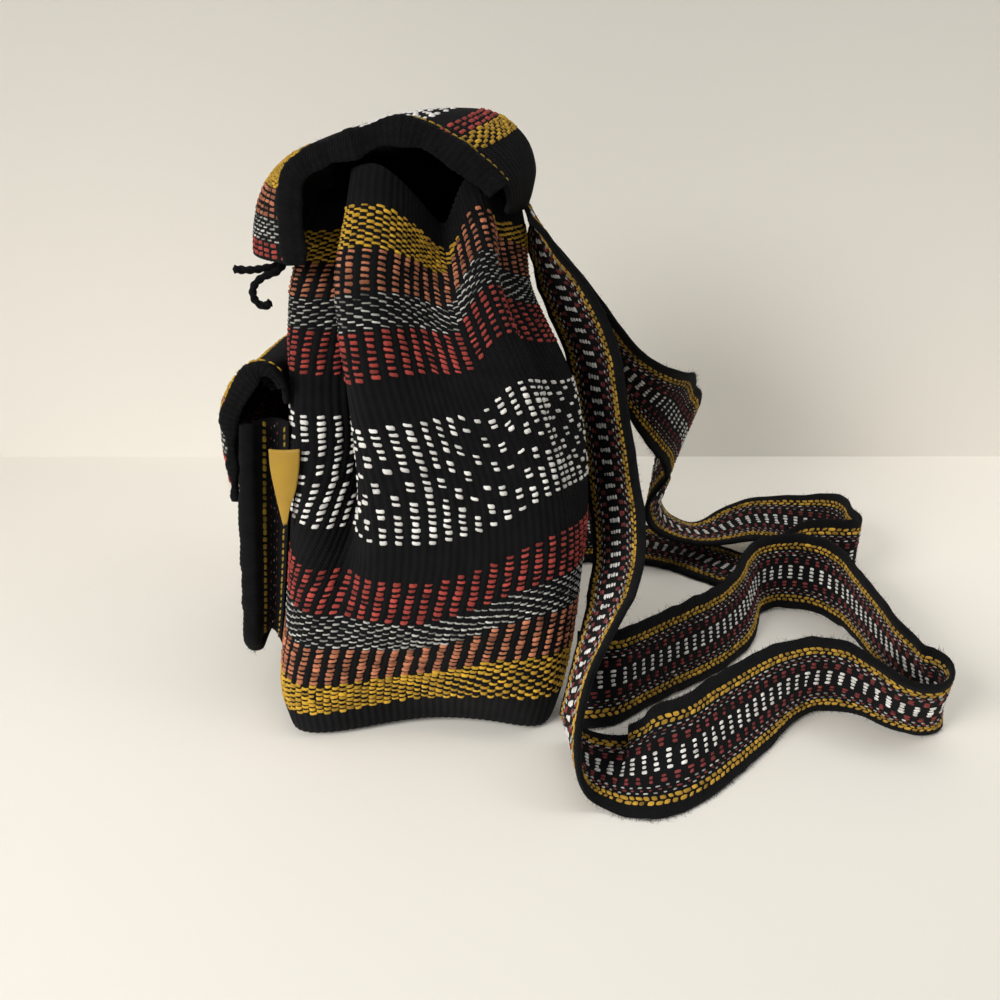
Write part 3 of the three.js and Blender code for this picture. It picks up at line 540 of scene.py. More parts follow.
def leaned(rings, shift):
    """Rings read some points further round, between their points on straight lines, so that the ribs lean."""
    count = rings.shape[1]
    place = (np.arange(count)[None] + shift[:, None]) % count
    low = place.astype(int)
    f = (place - low)[..., None]
    row = np.arange(len(rings))[:, None]
    return rings[row, low % count] * (1 - f) + rings[row, (low + 1) % count] * f


def front_wall(y, z):
    """X of the bag's front wall at a width and a height, on its unfolded superellipse."""
    rise = through(SECTIONS["z"], SECTIONS["rise"], z)
    shape = ("front", "back", "half", "power")
    front, back, half, power = (through(SECTIONS["rise"], SECTIONS[n], rise) for n in shape)
    reach = (1 - np.minimum(1, np.abs(y) / half) ** power) ** (1 / power)
    return (front + back) / 2 - (back - front) / 2 * reach


def flap_surface(u, v):
    """Top flap: across the width the height and depth go from the edge to the crown by 1 - |across|^2.4, and
    the far half sinks by the square of its distance from the middle."""
    across = 2 * v - 1
    edge_x, edge_z, crown_x, crown_z = along(FLAP_ROWS, "edge_x edge_z crown_x crown_z", u)
    half, far_drop = along(FLAP_ROWS, "half far_drop", u)
    crown = 1 - np.abs(across) ** FLAP_CROWN
    z = edge_z + (crown_z - edge_z) * crown - far_drop * np.maximum(0, across) ** 2
    return np.stack([edge_x + (crown_x - edge_x) * crown, across * half, z], -1)


def pocket_flap_surface(u, v):
    """Pocket flap: one curled profile standing off the front wall's curve, its side edges turned back by
    |across|^4 and its near edge puffed up by (1 - v)^3."""
    out, z, half, puff, tuck = along(POCKET_FLAP_ROWS, "out z half puff tuck", u)
    across = 2 * v - 1
    y = across * half
    seam = front_wall(y, 0 * y + POCKET_FLAP_ROWS["z"][0])
    x = seam - out + tuck * across**POCKET_FLAP_TURN
    return np.stack([x, y, z + puff * (1 - v) ** POCKET_FLAP_PUFF], -1)


def pocket_surface(u, v):
    """Pocket panel: the front wall's curve moved out, narrowed in a quarter circle at its lower corners."""
    z = POCKET_LOW + (POCKET_HIGH - POCKET_LOW) * u + 0 * v
    above = np.minimum(POCKET_CORNER, z - POCKET_LOW)
    cut = POCKET_CORNER - np.sqrt(POCKET_CORNER**2 - (POCKET_CORNER - above) ** 2)
    y = (2 * v - 1) * (POCKET_HALF - cut)
    return np.stack([front_wall(y, z) - through(POCKET_ROWS["z"], POCKET_ROWS["out"], z), y, z], -1)


def label_surface(u, v):
    """Label: a tongue between two drooping edges, bowed by a half sine."""
    z, in_x, out_x, y = along(LABEL_ROWS, "z in_x out_x y", u)
    x = out_x + (in_x - out_x) * v
    bow = LABEL_BOW * (in_x - out_x) * np.sin(np.pi * v)
    return np.stack([x, y - bow, z + 0 * v], -1)


def strap_frame(rows, t):
    """The strap's edge, the direction across and the direction its face looks, at shares of its route."""
    place = lambda s: np.stack(along(rows, "x y z", s), -1)
    run = unit(place(np.minimum(1, t + 2e-3)) - place(np.maximum(0, t - 2e-3)))
    across = np.stack(along(rows, "wx wy wz", t), -1)
    across = unit(across - (1 - STRAP_SLANT) * (across * run).sum(-1, keepdims=True) * run)
    return place(t), across, unit(np.cross(across, run))


class Cloth:
    """A grid of points (heights, columns, 3) with outward normals, read between its points on straight lines.
    columns is the count of ribs across an even grid, or the place of each of its columns."""

    def __init__(self, points, heights, columns, closed=False, normals=None):
        self.points, self.heights, self.closed = points, heights, closed
        count = points.shape[1]
        if closed:
            self.places = np.arange(count + 1) * columns / count
            aside = np.roll(points, -1, 1) - np.roll(points, 1, 1)
        else:
            self.places = np.linspace(0, columns, count) if np.isscalar(columns) else columns
            aside = np.gradient(points, axis=1)
        if normals is None:
            normals = unit(np.cross(aside, np.gradient(points, axis=0)))
        self.normals = normals

    def at(self, column, height):
        """Points and normals at any columns and heights."""
        count = self.points.shape[1]
        if self.closed:
            column = column % self.places[-1]
        row = np.interp(height, self.heights, np.arange(len(self.heights)))
        place = np.interp(column, self.places, np.arange(len(self.places)))
        r = np.clip(row.astype(int), 0, len(self.heights) - 2)
        c = np.clip(place.astype(int), 0, len(self.places) - 2)
        f, g = (row - r)[..., None], (place - c)[..., None]
        d = (c + 1) % count

        def read(grid):
            below = grid[r, c] * (1 - g) + grid[r, d] * g
            above = grid[r + 1, c] * (1 - g) + grid[r + 1, d] * g
            return below * (1 - f) + above * f

        return read(self.points), unit(read(self.normals))


def grid_faces(rows, columns, closed):
    """Quads of a grid of points, its columns joined into a ring where it is closed."""
    r = np.arange(rows - 1)[:, None] * columns
    c = np.arange(columns if closed else columns - 1)[None]
    d = (c + 1) % columns
    return np.stack([r + c, r + d, r + columns + d, r + columns + c], -1).reshape(-1, 4)


def pair_caps(rows, columns):
    """Quads that shut both ends of a two-sided tube by pairing the sides of its first and last ring."""
    i = np.arange(columns // 2 - 1)
    cap = np.stack([i + 1, i, columns - 1 - i, columns - 2 - i], -1)
    return np.concatenate([cap, cap[:, ::-1] + (rows - 1) * columns])


def end_fans(rows, count):
    """Triangles that shut both ends of a tube to the two points that follow its rings."""
    ends = np.stack([np.arange(count), (np.arange(count) + 1) % count], -1)
    last = rows * count
    return [
        np.column_stack([ends[:, ::-1], np.full(count, last)]),
        np.column_stack([ends + last - count, np.full(count, last + 1)]),
    ]


def make_piece(name, points, faces, material, uv=None, shade=None):
    """A mesh object at the origin from points in millimetres and a list of face arrays, shaded smooth."""
    points = np.asarray(points, float).reshape(-1, 3)
    mesh = bpy.data.meshes.new(name)
    mesh.vertices.add(len(points))
    mesh.vertices.foreach_set("co", (points * MM).ravel())
    corners = np.concatenate([f.ravel() for f in faces]).astype(np.int32)
    sizes = np.concatenate([np.full(len(f), f.shape[1]) for f in faces])
    mesh.loops.add(len(corners))
    mesh.loops.foreach_set("vertex_index", corners)
    mesh.polygons.add(len(sizes))
    mesh.polygons.foreach_set("loop_start", np.concatenate([[0], np.cumsum(sizes)[:-1]]).astype(np.int32))
    mesh.update(calc_edges=True)
    mesh.polygons.foreach_set("use_smooth", np.ones(len(sizes), bool))
    if uv is not None:
        layer = mesh.uv_layers.new(name="Weave")
        places = np.asarray(uv, float).reshape(-1, 2)[corners]
        layer.uv.foreach_set("vector", places.astype(np.float32).ravel())
    if shade is not None:
        values = mesh.attributes.new("shade", "FLOAT", "POINT")
        values.data.foreach_set("value", np.asarray(shade, np.float32).ravel())
    mesh.materials.append(material)
    mesh.validate()
    made = bpy.data.objects.new(name, mesh)
    bpy.context.scene.collection.objects.link(made)
    return made


def carried(made, slot, *nodes):
    """The piece rides on the bag and stands for the solids named; its slot is not used."""
    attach(made, "root")
    if nodes:
        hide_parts(*nodes)
    return made


def rib_height(column, high):
    """Rounded ribs, one to a column: the height is |sin(pi column)|^0.7."""
    return high * np.abs(np.sin(np.pi * column)) ** 0.7


def sheet_solid(name, surface, u_steps, columns, per_column, length, thick, rib, material=None):
    """A ribbed sheet with both faces and its edges, black if no material is given. Returns the piece and the
    cloth of its outer face."""
    across = columns * per_column + 1
    u, v = np.meshgrid(np.linspace(0, 1, u_steps), np.linspace(0, 1, across), indexing="ij")
    middle = surface(u, v)
    normal = unit(np.cross(np.gradient(middle, axis=1), np.gradient(middle, axis=0)))
    outer = middle + normal * (thick / 2 - rib + rib_height(v * columns, rib))[..., None]
    inner = middle - normal * (thick / 2)
    ring = np.concatenate([outer, inner[:, ::-1]], 1)
    faces = [grid_faces(u_steps, 2 * across, True), pair_caps(u_steps, 2 * across)]
    weave = np.stack([v * columns, u * length / 3], -1)
    uv = np.concatenate([weave, weave[:, ::-1]], 1)
    made = make_piece(name, ring, faces, material or yarn_material("black"), uv)
    cloth = Cloth(middle + normal * (thick / 2 - 0.5 * rib), np.linspace(0, length, u_steps), columns)
    return made, cloth


def lay_picks(cloth, column, height, wide, tall, thick, slant, seed):
    """Pills of yarn on a cloth: over (s, t) from -1 to 1 the thickness is (1 - s^4)^0.5 (1 - t^2)^0.5 and the
    outline an oval, each pill a little off its place, size and turn."""
    random = np.random.default_rng(seed)
    count = len(column)
    s = np.array(PILL_ACROSS)[None, :, None]
    t = np.array(PILL_UP)[None, None, :]
    loose = lambda spread: random.normal(0, spread, count)[:, None, None]
    size = 1 + loose(0.14)
    turn = slant * tall / 2 + loose(0.1)
    c = column[:, None, None] + loose(0.05) + s * wide / 2 * (1 + loose(0.08)) * (1 - 0.22 * t**2)
    h = height[:, None, None] + loose(0.1) + t * tall / 2 * size * (1 - 0.34 * s**2) + s * turn
    lump = thick * size * np.sqrt((1 - s**4) * (1 - t**2)) + 0 * c - 0.12
    point, normal = cloth.at(c, h)
    points = (point + normal * lump[..., None]).reshape(-1, 3)
    block = grid_faces(len(PILL_ACROSS), len(PILL_UP), False)[:, ::-1]
    first = np.arange(count)[:, None, None] * len(PILL_ACROSS) * len(PILL_UP)
    faces = (first + block[None]).reshape(-1, 4)
    uv = np.stack(np.broadcast_arrays(t * 0.5 + 0 * c, s * 0.8 + 0 * c), -1)
    shade = np.broadcast_to(np.clip(0.5 + loose(0.24), 0, 1), c.shape)
    return points, faces, uv, shade


def motif(column, row, rows, centre, repeat):
    """Hourglasses of two triangles, with a lattice of dots between: half the rows at the middle column and 2
    fewer for each column out, then two rows of every four from two rows past the triangle's edge, moved by
    two for each column."""
    from_edge = np.minimum(row, rows - 1 - row)
    from_centre = np.floor(np.abs((column - centre + repeat / 2) % repeat - repeat / 2) + 0.5)
    past = from_edge - (rows // 2 - 1) + 2 * from_centre
    dots = (past >= 2) & ((row - rows // 2 + 3 + 2 * from_centre) % 4 < 2)
    bare = (3 * row + 5 * column) % 7 == 0
    return (past <= 0) | (dots & ~bare)


def slipped(column, height, columns):
    """Heights of the woven rows after they slip up the ribs by the chart, on cubics round the bag."""
    chart = np.stack([through(SLIP["at"], SLIP[n], column / columns, 1.0) for n in list(SLIP)[1:]])
    place = np.interp(height, SLIP_LEVELS, np.arange(len(SLIP_LEVELS)))
    level = np.clip(place.astype(int), 0, len(SLIP_LEVELS) - 2)
    each = np.arange(len(height))
    f = place - level
    return height + chart[level, each] * (1 - f) + chart[level + 1, each] * f


def stripe_picks(stripes, columns, lowest, scale, centre=0, repeat=10):
    """Places of the weft picks that show in each yarn: on every other column in a rib stripe, on alternate
    columns from row to row in brick and dash stripes, and where the motif has them."""
    laid = {}
    floor = lowest
    k = np.arange(columns)
    for kind, yarn, high in stripes:
        high = high * scale
        if kind != "plain":
            pitch, wide, tall, thick = PICKS[kind]
            rows = max(2, int(round(high / pitch)))
            row, column = np.meshgrid(np.arange(rows), k, indexing="ij")
            shown = (column + row) % 2 == 0 if kind in ("brick", "dash") else column % 2 == 0
            if kind == "motif":
                shown &= motif(column // 2, row, rows, centre, repeat)
            at = floor + (row[shown] + 0.5) * high / rows
            ones = np.ones(len(at))
            spot = (column[shown] + 0.5, at, wide * ones, tall * high / rows / pitch * ones, thick * ones)
            laid.setdefault(yarn, []).append(spot)
        floor += high
    return {yarn: [np.concatenate(part) for part in zip(*spots)] for yarn, spots in laid.items()}


def add_weft(prefix, cloth, laid, slot, seed):
    """One piece for each yarn of a cloth."""
    made = []
    for n, (yarn, (column, height, wide, tall, thick)) in enumerate(sorted(laid.items())):
        spread = lambda a: a[:, None, None]
        points, faces, uv, shade = lay_picks(
            cloth, column, height, spread(wide), spread(tall), spread(thick), 0.0, seed + n
        )
        piece = make_piece(f"{prefix}_{yarn}", points, [faces], yarn_material(yarn), uv, shade)
        made.append(carried(piece, slot))
    return made


# Materials


def new_node(tree, kind, **values):
    """A node of one kind with its settings."""
    node = tree.nodes.new(kind)
    for name, value in values.items():
        setattr(node, name, value)
    return node


def yarn_group():
    """Yarn: a colour that drifts from pick to pick and along the fibres, a rough fuzz, and plied strands as
    height."""
    if "Yarn" in bpy.data.node_groups:
        return bpy.data.node_groups["Yarn"]
    tree = bpy.data.node_groups.new("Yarn", "ShaderNodeTree")
    sockets = (
        ("Colour", "INPUT", "NodeSocketColor", (0.5, 0.5, 0.5, 1)),
        ("Fleck", "INPUT", "NodeSocketColor", (0.1, 0.1, 0.1, 1)),
        ("Spread", "INPUT", "NodeSocketFloat", 0.4),
        ("Flecks", "INPUT", "NodeSocketFloat", 0.3),
        ("Strands", "INPUT", "NodeSocketFloat", 1.0),
        ("Colour", "OUTPUT", "NodeSocketColor", None),
        ("Roughness", "OUTPUT", "NodeSocketFloat", None),
        ("Height", "OUTPUT", "NodeSocketFloat", None),
    )
    for name, side, kind, value in sockets:
        made = tree.interface.new_socket(name, in_out=side, socket_type=kind)
        if value is not None:
            made.default_value = value
    start, end = new_node(tree, "NodeGroupInput"), new_node(tree, "NodeGroupOutput")
    place = new_node(tree, "ShaderNodeTexCoord")
    shade = new_node(tree, "ShaderNodeAttribute", attribute_name="shade")
    centred = new_node(tree, "ShaderNodeMath", operation="SUBTRACT")
    centred.inputs[1].default_value = 0.5
    value = new_node(tree, "ShaderNodeMath", operation="MULTIPLY_ADD")
    value.inputs[2].default_value = 0.5
    wide = new_node(tree, "ShaderNodeMath", operation="MULTIPLY")
    wide.inputs[1].default_value = 1.6
    base = new_node(tree, "ShaderNodeMath", operation="ADD")
    drift = new_node(tree, "ShaderNodeTexNoise")
    drift.inputs["Scale"].default_value = 160
    drift.inputs["Detail"].default_value = 3
    fuzz = new_node(tree, "ShaderNodeTexNoise")
    fuzz.inputs["Scale"].default_value = 1900
    fuzz.inputs["Detail"].default_value = 4
    tone = new_node(tree, "ShaderNodeHueSaturation")
    speck = new_node(tree, "ShaderNodeMapRange")
    speck.inputs["From Min"].default_value, speck.inputs["From Max"].default_value = 0.52, 0.72
    amount = new_node(tree, "ShaderNodeMath", operation="MULTIPLY")
    mix = new_node(tree, "ShaderNodeMix", data_type="RGBA")
    rough = new_node(tree, "ShaderNodeMapRange")
    rough.inputs["To Min"].default_value, rough.inputs["To Max"].default_value = 0.78, 1.0
    strand = new_node(tree, "ShaderNodeTexWave", wave_type="BANDS", bands_direction="DIAGONAL")
    strand.inputs["Scale"].default_value = 1.6
    strand.inputs["Distortion"].default_value = 1.2
    strand.inputs["Detail Scale"].default_value = 2.0
    plied = new_node(tree, "ShaderNodeMath", operation="MULTIPLY")
    height = new_node(tree, "ShaderNodeMath", operation="MULTIPLY_ADD")
    height.inputs[1].default_value = 0.55
    for out, into in (
        (place.outputs["Object"], drift.inputs["Vector"]),
        (place.outputs["Object"], fuzz.inputs["Vector"]),
        (place.outputs["UV"], strand.inputs["Vector"]),
        (start.outputs["Spread"], wide.inputs[0]),
        (shade.outputs["Fac"], centred.inputs[0]),
        (centred.outputs[0], value.inputs[0]),
        (wide.outputs[0], value.inputs[1]),
        (drift.outputs["Fac"], base.inputs[0]),
        (value.outputs[0], base.inputs[1]),
        (start.outputs["Colour"], tone.inputs["Color"]),
        (base.outputs[0], tone.inputs["Value"]),
        (fuzz.outputs["Fac"], speck.inputs["Value"]),
        (speck.outputs["Result"], amount.inputs[0]),
        (start.outputs["Flecks"], amount.inputs[1]),
        (amount.outputs[0], mix.inputs["Factor"]),
        (tone.outputs["Color"], mix.inputs["A"]),
        (start.outputs["Fleck"], mix.inputs["B"]),
        (mix.outputs["Result"], end.inputs["Colour"]),
        (fuzz.outputs["Fac"], rough.inputs["Value"]),
        (rough.outputs["Result"], end.inputs["Roughness"]),
        (strand.outputs["Fac"], plied.inputs[0]),
        (start.outputs["Strands"], plied.inputs[1]),
        (fuzz.outputs["Fac"], height.inputs[0]),
        (plied.outputs[0], height.inputs[2]),
        (height.outputs[0], end.inputs["Height"]),
    ):
        tree.links.new(out, into)
    return tree


def plain_material(name):
    """A new material with its tree, shader and nothing else."""
    made = bpy.data.materials.new(name)
    made.use_nodes = True
    return made, made.node_tree, made.node_tree.nodes["Principled BSDF"]


# Each yarn: fleck colour, spread, flecks, strands, sheen, specular level and bump in mm.
YARNS = {
    "yellow": ((0.16, 0.09, 0.01, 1), 0.5, 0.35, 0.7, 0.08, 0.15, 0.16),
    "mustard": ((0.12, 0.07, 0.02, 1), 0.6, 0.4, 0.7, 0.06, 0.12, 0.16),
    "orange": ((0.13, 0.05, 0.03, 1), 0.7, 0.4, 0.7, 0.06, 0.1, 0.16),
    "red": ((0.06, 0.01, 0.01, 1), 0.55, 0.4, 0.7, 0.06, 0.1, 0.16),
    "maroon": ((0.03, 0.01, 0.01, 1), 0.6, 0.4, 0.7, 0.04, 0.1, 0.16),
    "olive": ((0.04, 0.03, 0.01, 1), 0.6, 0.4, 0.7, 0.04, 0.1, 0.16),
    "grey": ((0.06, 0.06, 0.06, 1), 0.9, 0.5, 0.6, 0.04, 0.1, 0.14),
    "white": ((0.4, 0.39, 0.37, 1), 0.25, 0.3, 0.7, 0.05, 0.12, 0.16),
    "black": ((0.013, 0.0125, 0.0135, 1), 0.3, 0.5, 0.8, 0.02, 0.05, 0.3),
}


def yarn_material(yarn):
    """Matt cotton yarn of one colour, with a soft sheen of loose fibres."""
    name = f"Yarn {yarn}"
    if name in bpy.data.materials:
        return bpy.data.materials[name]
    fleck, spread, flecks, strands, sheen, gloss, bump = YARNS[yarn]
    made, tree, shader = plain_material(name)
    group = new_node(tree, "ShaderNodeGroup", node_tree=yarn_group())
    group.inputs["Colour"].default_value = (*getattr(bpy.context.scene.backpack, f"{yarn}_yarn"), 1)
    group.inputs["Fleck"].default_value = fleck
    group.inputs["Spread"].default_value = spread
    group.inputs["Flecks"].default_value = flecks
    group.inputs["Strands"].default_value = strands
    relief = new_node(tree, "ShaderNodeBump")
    relief.inputs["Strength"].default_value = 0.8
    relief.inputs["Distance"].default_value = bump * MM
    shader.inputs["Sheen Weight"].default_value = sheen
    shader.inputs["Sheen Roughness"].default_value = 0.6
    shader.inputs["Specular IOR Level"].default_value = gloss
    for out, into in (
        (group.outputs["Colour"], shader.inputs["Base Color"]),
        (group.outputs["Roughness"], shader.inputs["Roughness"]),
        (group.outputs["Height"], relief.inputs["Height"]),
        (relief.outputs["Normal"], shader.inputs["Normal"]),
    ):
        tree.links.new(out, into)
    return made


def tape_material():
    """Smooth woven tape of the label: a fine satin grain over its colour."""
    if "Label tape" in bpy.data.materials:
        return bpy.data.materials["Label tape"]
    made, tree, shader = plain_material("Label tape")
    place = new_node(tree, "ShaderNodeTexCoord")
    grain = new_node(tree, "ShaderNodeTexWave", wave_type="BANDS", bands_direction="X")
    grain.inputs["Scale"].default_value = 14
    grain.inputs["Distortion"].default_value = 0.4
    stain = new_node(tree, "ShaderNodeTexNoise")
    stain.inputs["Scale"].default_value = 90
    mix = new_node(tree, "ShaderNodeMix", data_type="RGBA")
    colour = bpy.context.scene.backpack.label_tape
    mix.inputs["A"].default_value = (*(0.78 * c for c in colour), 1)
    mix.inputs["B"].default_value = (*(min(1, 1.12 * c) for c in colour), 1)
    relief = new_node(tree, "ShaderNodeBump")
    relief.inputs["Strength"].default_value = 0.4
    relief.inputs["Distance"].default_value = 0.08 * MM
    shader.inputs["Roughness"].default_value = 0.42
    shader.inputs["Sheen Weight"].default_value = 0.1
    for out, into in (
        (place.outputs["UV"], grain.inputs["Vector"]),
        (place.outputs["Object"], stain.inputs["Vector"]),
        (stain.outputs["Fac"], mix.inputs["Factor"]),
        (mix.outputs["Result"], shader.inputs["Base Color"]),
        (grain.outputs["Fac"], relief.inputs["Height"]),
        (relief.outputs["Normal"], shader.inputs["Normal"]),
    ):
        tree.links.new(out, into)
    return made


# Settings


def linear(red, green, blue):
    """Scene colour of a screen colour given in parts of 255."""
    c = np.array([red, green, blue]) / 255
    return tuple(float(x) for x in np.where(c <= 0.04045, c / 12.92, ((c + 0.055) / 1.055) ** 2.4))


def colour_setting(name, description, screen):
    return FloatVectorProperty(
        name=name, description=description, subtype="COLOR", size=3, min=0, max=1, default=linear(*screen)
    )


def size_setting(name, description, default, low, high):
    return FloatProperty(name=name, description=description, default=default, min=low, max=high)


class BackpackSettings(bpy.types.PropertyGroup):
    """Sizes in millimetres, counts and yarn colours of the backpack."""

    columns: IntProperty(
        name="Ribs round the bag", description="Warp ribs in the bag's cloth", default=180, min=60, max=240
    )
    repeat: IntProperty(
        name="Motif repeat", description="Coloured ribs in one repeat of the motif", default=10, min=9, max=30
    )
    cloth: size_setting("Cloth thickness", "Wall of the woven cloth, in millimetres", 2.4, 1, 4)
    hem: size_setting("Hem thickness", "Wall of the rolled hem round the mouth, in millimetres", 4.6, 2, 8)
    rib: size_setting("Rib height", "Height of the cloth's ribs, in millimetres", 0.7, 0, 1.2)
    strap_width: size_setting("Strap width", "Width of the shoulder straps, in millimetres", 45, 30, 60)
    webbing: size_setting("Webbing thickness", "Thickness of the strap webbing, in millimetres", 2.2, 1, 4)
    cord: size_setting("Drawstring thickness", "Diameter of the drawstring, in millimetres", 3.4, 2, 6)
    fuzz: size_setting("Fuzz length", "Length of the loose fibres, in millimetres", 1.5, 0.5, 6)
    black_yarn: colour_setting("Black yarn", "Ground cloth and webbing edges", (19, 18.5, 20))
    yellow_yarn: colour_setting("Yellow yarn", "Golden stripes", (182, 142, 38))
    mustard_yarn: colour_setting("Mustard yarn", "Chains along the straps", (172, 134, 46))
    orange_yarn: colour_setting("Orange yarn", "Terracotta stripes", (160, 100, 72))
    red_yarn: colour_setting("Red yarn", "Brick red stripes", (150, 60, 52))
    maroon_yarn: colour_setting("Maroon yarn", "Dark red threads of the straps", (118, 52, 50))
    olive_yarn: colour_setting("Olive yarn", "Dull yellow chains along the bindings", (146, 119, 40))
    grey_yarn: colour_setting("Grey yarn", "Dashes of undyed yarn", (158, 158, 152))
    white_yarn: colour_setting("White yarn", "Undyed motif", (216, 214, 208))
    label_tape: colour_setting("Label", "Blank tape of the label", (170, 132, 30))


def settings():
    return bpy.context.scene.backpack


# Operators


class StageOperator(bpy.types.Operator):
    """Pale floor and wall, soft studio light and the camera"""

    bl_idname = "backpack.stage"
    bl_label = "Stage"

    def execute(self, context):
        scene = context.scene
        scene.view_settings.view_transform = "Standard"
        made, tree, shader = plain_material("Pale stage")
        shader.inputs["Base Color"].default_value = (*linear(233, 229, 220), 1)
        shader.inputs["Roughness"].default_value = 0.7
        shader.inputs["Specular IOR Level"].default_value = 0.2
        side = new_node(tree, "ShaderNodeNewGeometry")
        clear = new_node(tree, "ShaderNodeBsdfTransparent")
        mix = new_node(tree, "ShaderNodeMixShader")
        tree.links.new(side.outputs["Backfacing"], mix.inputs["Fac"])
        tree.links.new(shader.outputs["BSDF"], mix.inputs[1])
        tree.links.new(clear.outputs["BSDF"], mix.inputs[2])
        tree.links.new(mix.outputs["Shader"], tree.nodes["Material Output"].inputs["Surface"])
        near, far, high = -STAGE_HALF, STAGE_WALL, STAGE_HIGH
        corners = [(-STAGE_HALF, far, 0), (STAGE_HALF, far, 0)]
        quad = [np.array([[0, 1, 2, 3]])]
        front = [(-STAGE_HALF, near, 0), (STAGE_HALF, near, 0)]
        above = [(STAGE_HALF, far, high), (-STAGE_HALF, far, high)]
        floor = make_piece("floor", front + corners[::-1], quad, made)
        back = make_piece("wall", corners + above, quad, made)
        for name, (place, target, size, power, spread, tint) in LAMPS.items():
            data = bpy.data.lights.new(name, "AREA")
            data.size, data.energy, data.color = size, power, tint
            data.spread = np.radians(spread)
            lamp = bpy.data.objects.new(name, data)
            scene.collection.objects.link(lamp)
            lamp.location = place
            aim = Vector(target) - Vector(place)
            lamp.rotation_euler = aim.to_track_quat("-Z", "Y").to_euler()
        world = bpy.data.worlds.new("Soft room")
        world.use_nodes = True
        world.node_tree.nodes["Background"].inputs["Color"].default_value = (0.97, 0.98, 1.0, 1)
        world.node_tree.nodes["Background"].inputs["Strength"].default_value = 0.4
        scene.world = world
        data = bpy.data.cameras.new("camera")
        data.lens, data.sensor_width = CAMERA_LENS, CAMERA_SENSOR
        camera = bpy.data.objects.new("camera", data)
        scene.collection.objects.link(camera)
        camera.location = [c * MM for c in CAMERA_PLACE]
        camera.rotation_euler = (np.radians(CAMERA_PITCH), 0, 0)
        scene.camera = camera
        return {"FINISHED"}


class DrawstringOperator(bpy.types.Operator):
    """The two free ends of the drawstring, plied of two strands"""

    bl_idname = "backpack.drawstring"
    bl_label = "Drawstring ends"

    def execute(self, context):
        for name, rows in (("drawstring_end_upper", CORD_UPPER), ("drawstring_end_lower", CORD_LOWER)):
            t = np.linspace(0, 1, CORD_STEPS)
            path = np.stack(along(rows, "x y z", t), -1)
            length = np.linalg.norm(np.diff(path, axis=0), axis=1).sum()
            run = unit(np.gradient(path, axis=0))
            side = unit(np.cross(run, [0.3, 1.0, 0.2]))
            other = np.cross(run, side)
            angle = np.linspace(0, TURN, CORD_SIDES, endpoint=False)[None]
            ply = TURN * t[:, None] * length / CORD_LAY
            radius = settings().cord / 2 * (0.92 + 0.14 * np.cos(2 * (angle - ply)))
            radius = radius * (1 + 0.12 * ease(0.8, 1, t))[:, None]
            spoke = side[:, None] * np.cos(angle)[..., None] + other[:, None] * np.sin(angle)[..., None]
            ring = path[:, None] + spoke * radius[..., None]
            faces = [grid_faces(CORD_STEPS, CORD_SIDES, True), *end_fans(CORD_STEPS, CORD_SIDES)]
            points = np.concatenate([ring.reshape(-1, 3), path[:1], path[-1:] + run[-1:] * 0.9])
            uv = np.stack(np.broadcast_arrays(angle / TURN * 3, t[:, None] * length / 3), -1).reshape(-1, 2)
            made = make_piece(name, points, faces, yarn_material("black"), np.concatenate([uv, uv[:2]]))
            carried(made, "cord", name)
        return {"FINISHED"}


class BagOperator(bpy.types.Operator):
    """The bag's ribbed shell with its hem and base, and the weft picks of each yarn"""

    bl_idname = "backpack.bag"
    bl_label = "Bag"

    def execute(self, context):
        size = settings()
        tall = sum(high for _, _, high in STRIPES)
        count = size.columns * COLUMN_STEPS
        rise = np.linspace(0, 1, BAG_ROWS)
        lean = LEAN * ease(*LEAN_OUT, rise) * ease(*LEAN_IN, rise)
        wall = leaned(bag_rings(rise, count), count * lean)
        share = np.array(BASE_SHARES)
        base = wall[:1] * share[:, None, None]
        base[..., 2] *= ease(0.8, 1, share)[:, None]
        heights = np.concatenate([(share - 1) * BASE_REACH, rise * tall])
        shell = np.concatenate([base, wall])
        cloth = Cloth(shell, heights, size.columns, closed=True)
        column = np.arange(count) / COLUMN_STEPS
        ribs = rib_height(column, size.rib)[None] * ease(-6, 6, heights)[:, None]
        hem = ease(HEM_FROM - 0.02, HEM_FROM + 0.02, heights / tall)[:, None]
        outer = shell + cloth.normals * (ribs - 0.5 * size.rib)[..., None]
        under = len(share)
        outer[:under, :, 2] = np.maximum(outer[:under, :, 2], 0)
        thick = size.cloth + (size.hem - size.cloth) * hem
        inner = (shell - cloth.normals * thick[..., None])[INNER_ROWS][::-1]
        inner[-under:, :, 2] = np.maximum(inner[-under:, :, 2], size.cloth * 0.9)
        roll = (outer[-1:] + inner[:1]) / 2 + np.array([0, 0, 1.2])
        rings = np.concatenate([outer, roll, inner])
        rows = len(rings)
        faces = [grid_faces(rows, count, True), *end_fans(rows, count)]
        middle = [rings[0].mean(0) * [1, 1, 0], rings[-1].mean(0)]
        points = np.concatenate([rings.reshape(-1, 3), middle])
        level = np.concatenate([heights, heights[-1:] + 2, heights[INNER_ROWS][::-1]]) / 3
        uv = np.stack(np.broadcast_arrays(column[None], level[:, None]), -1).reshape(-1, 2)
        made = make_piece("bag_cloth", points, faces, yarn_material("black"), np.concatenate([uv, uv[:2]]))
        carried(made, "bag_cloth", "bag_body")
        laid = stripe_picks(STRIPES, size.columns, 0.0, 1.0, centre=66, repeat=size.repeat)
        for yarn, (spot, level, *sizes) in laid.items():
            level = slipped(spot, level, size.columns)
            below = level < tall * HEM_FROM - 1
            laid[yarn] = [part[below] for part in (spot, level, *sizes)]
        add_weft("bag_weft", cloth, laid, "bag_cloth", 11)
        return {"FINISHED"}


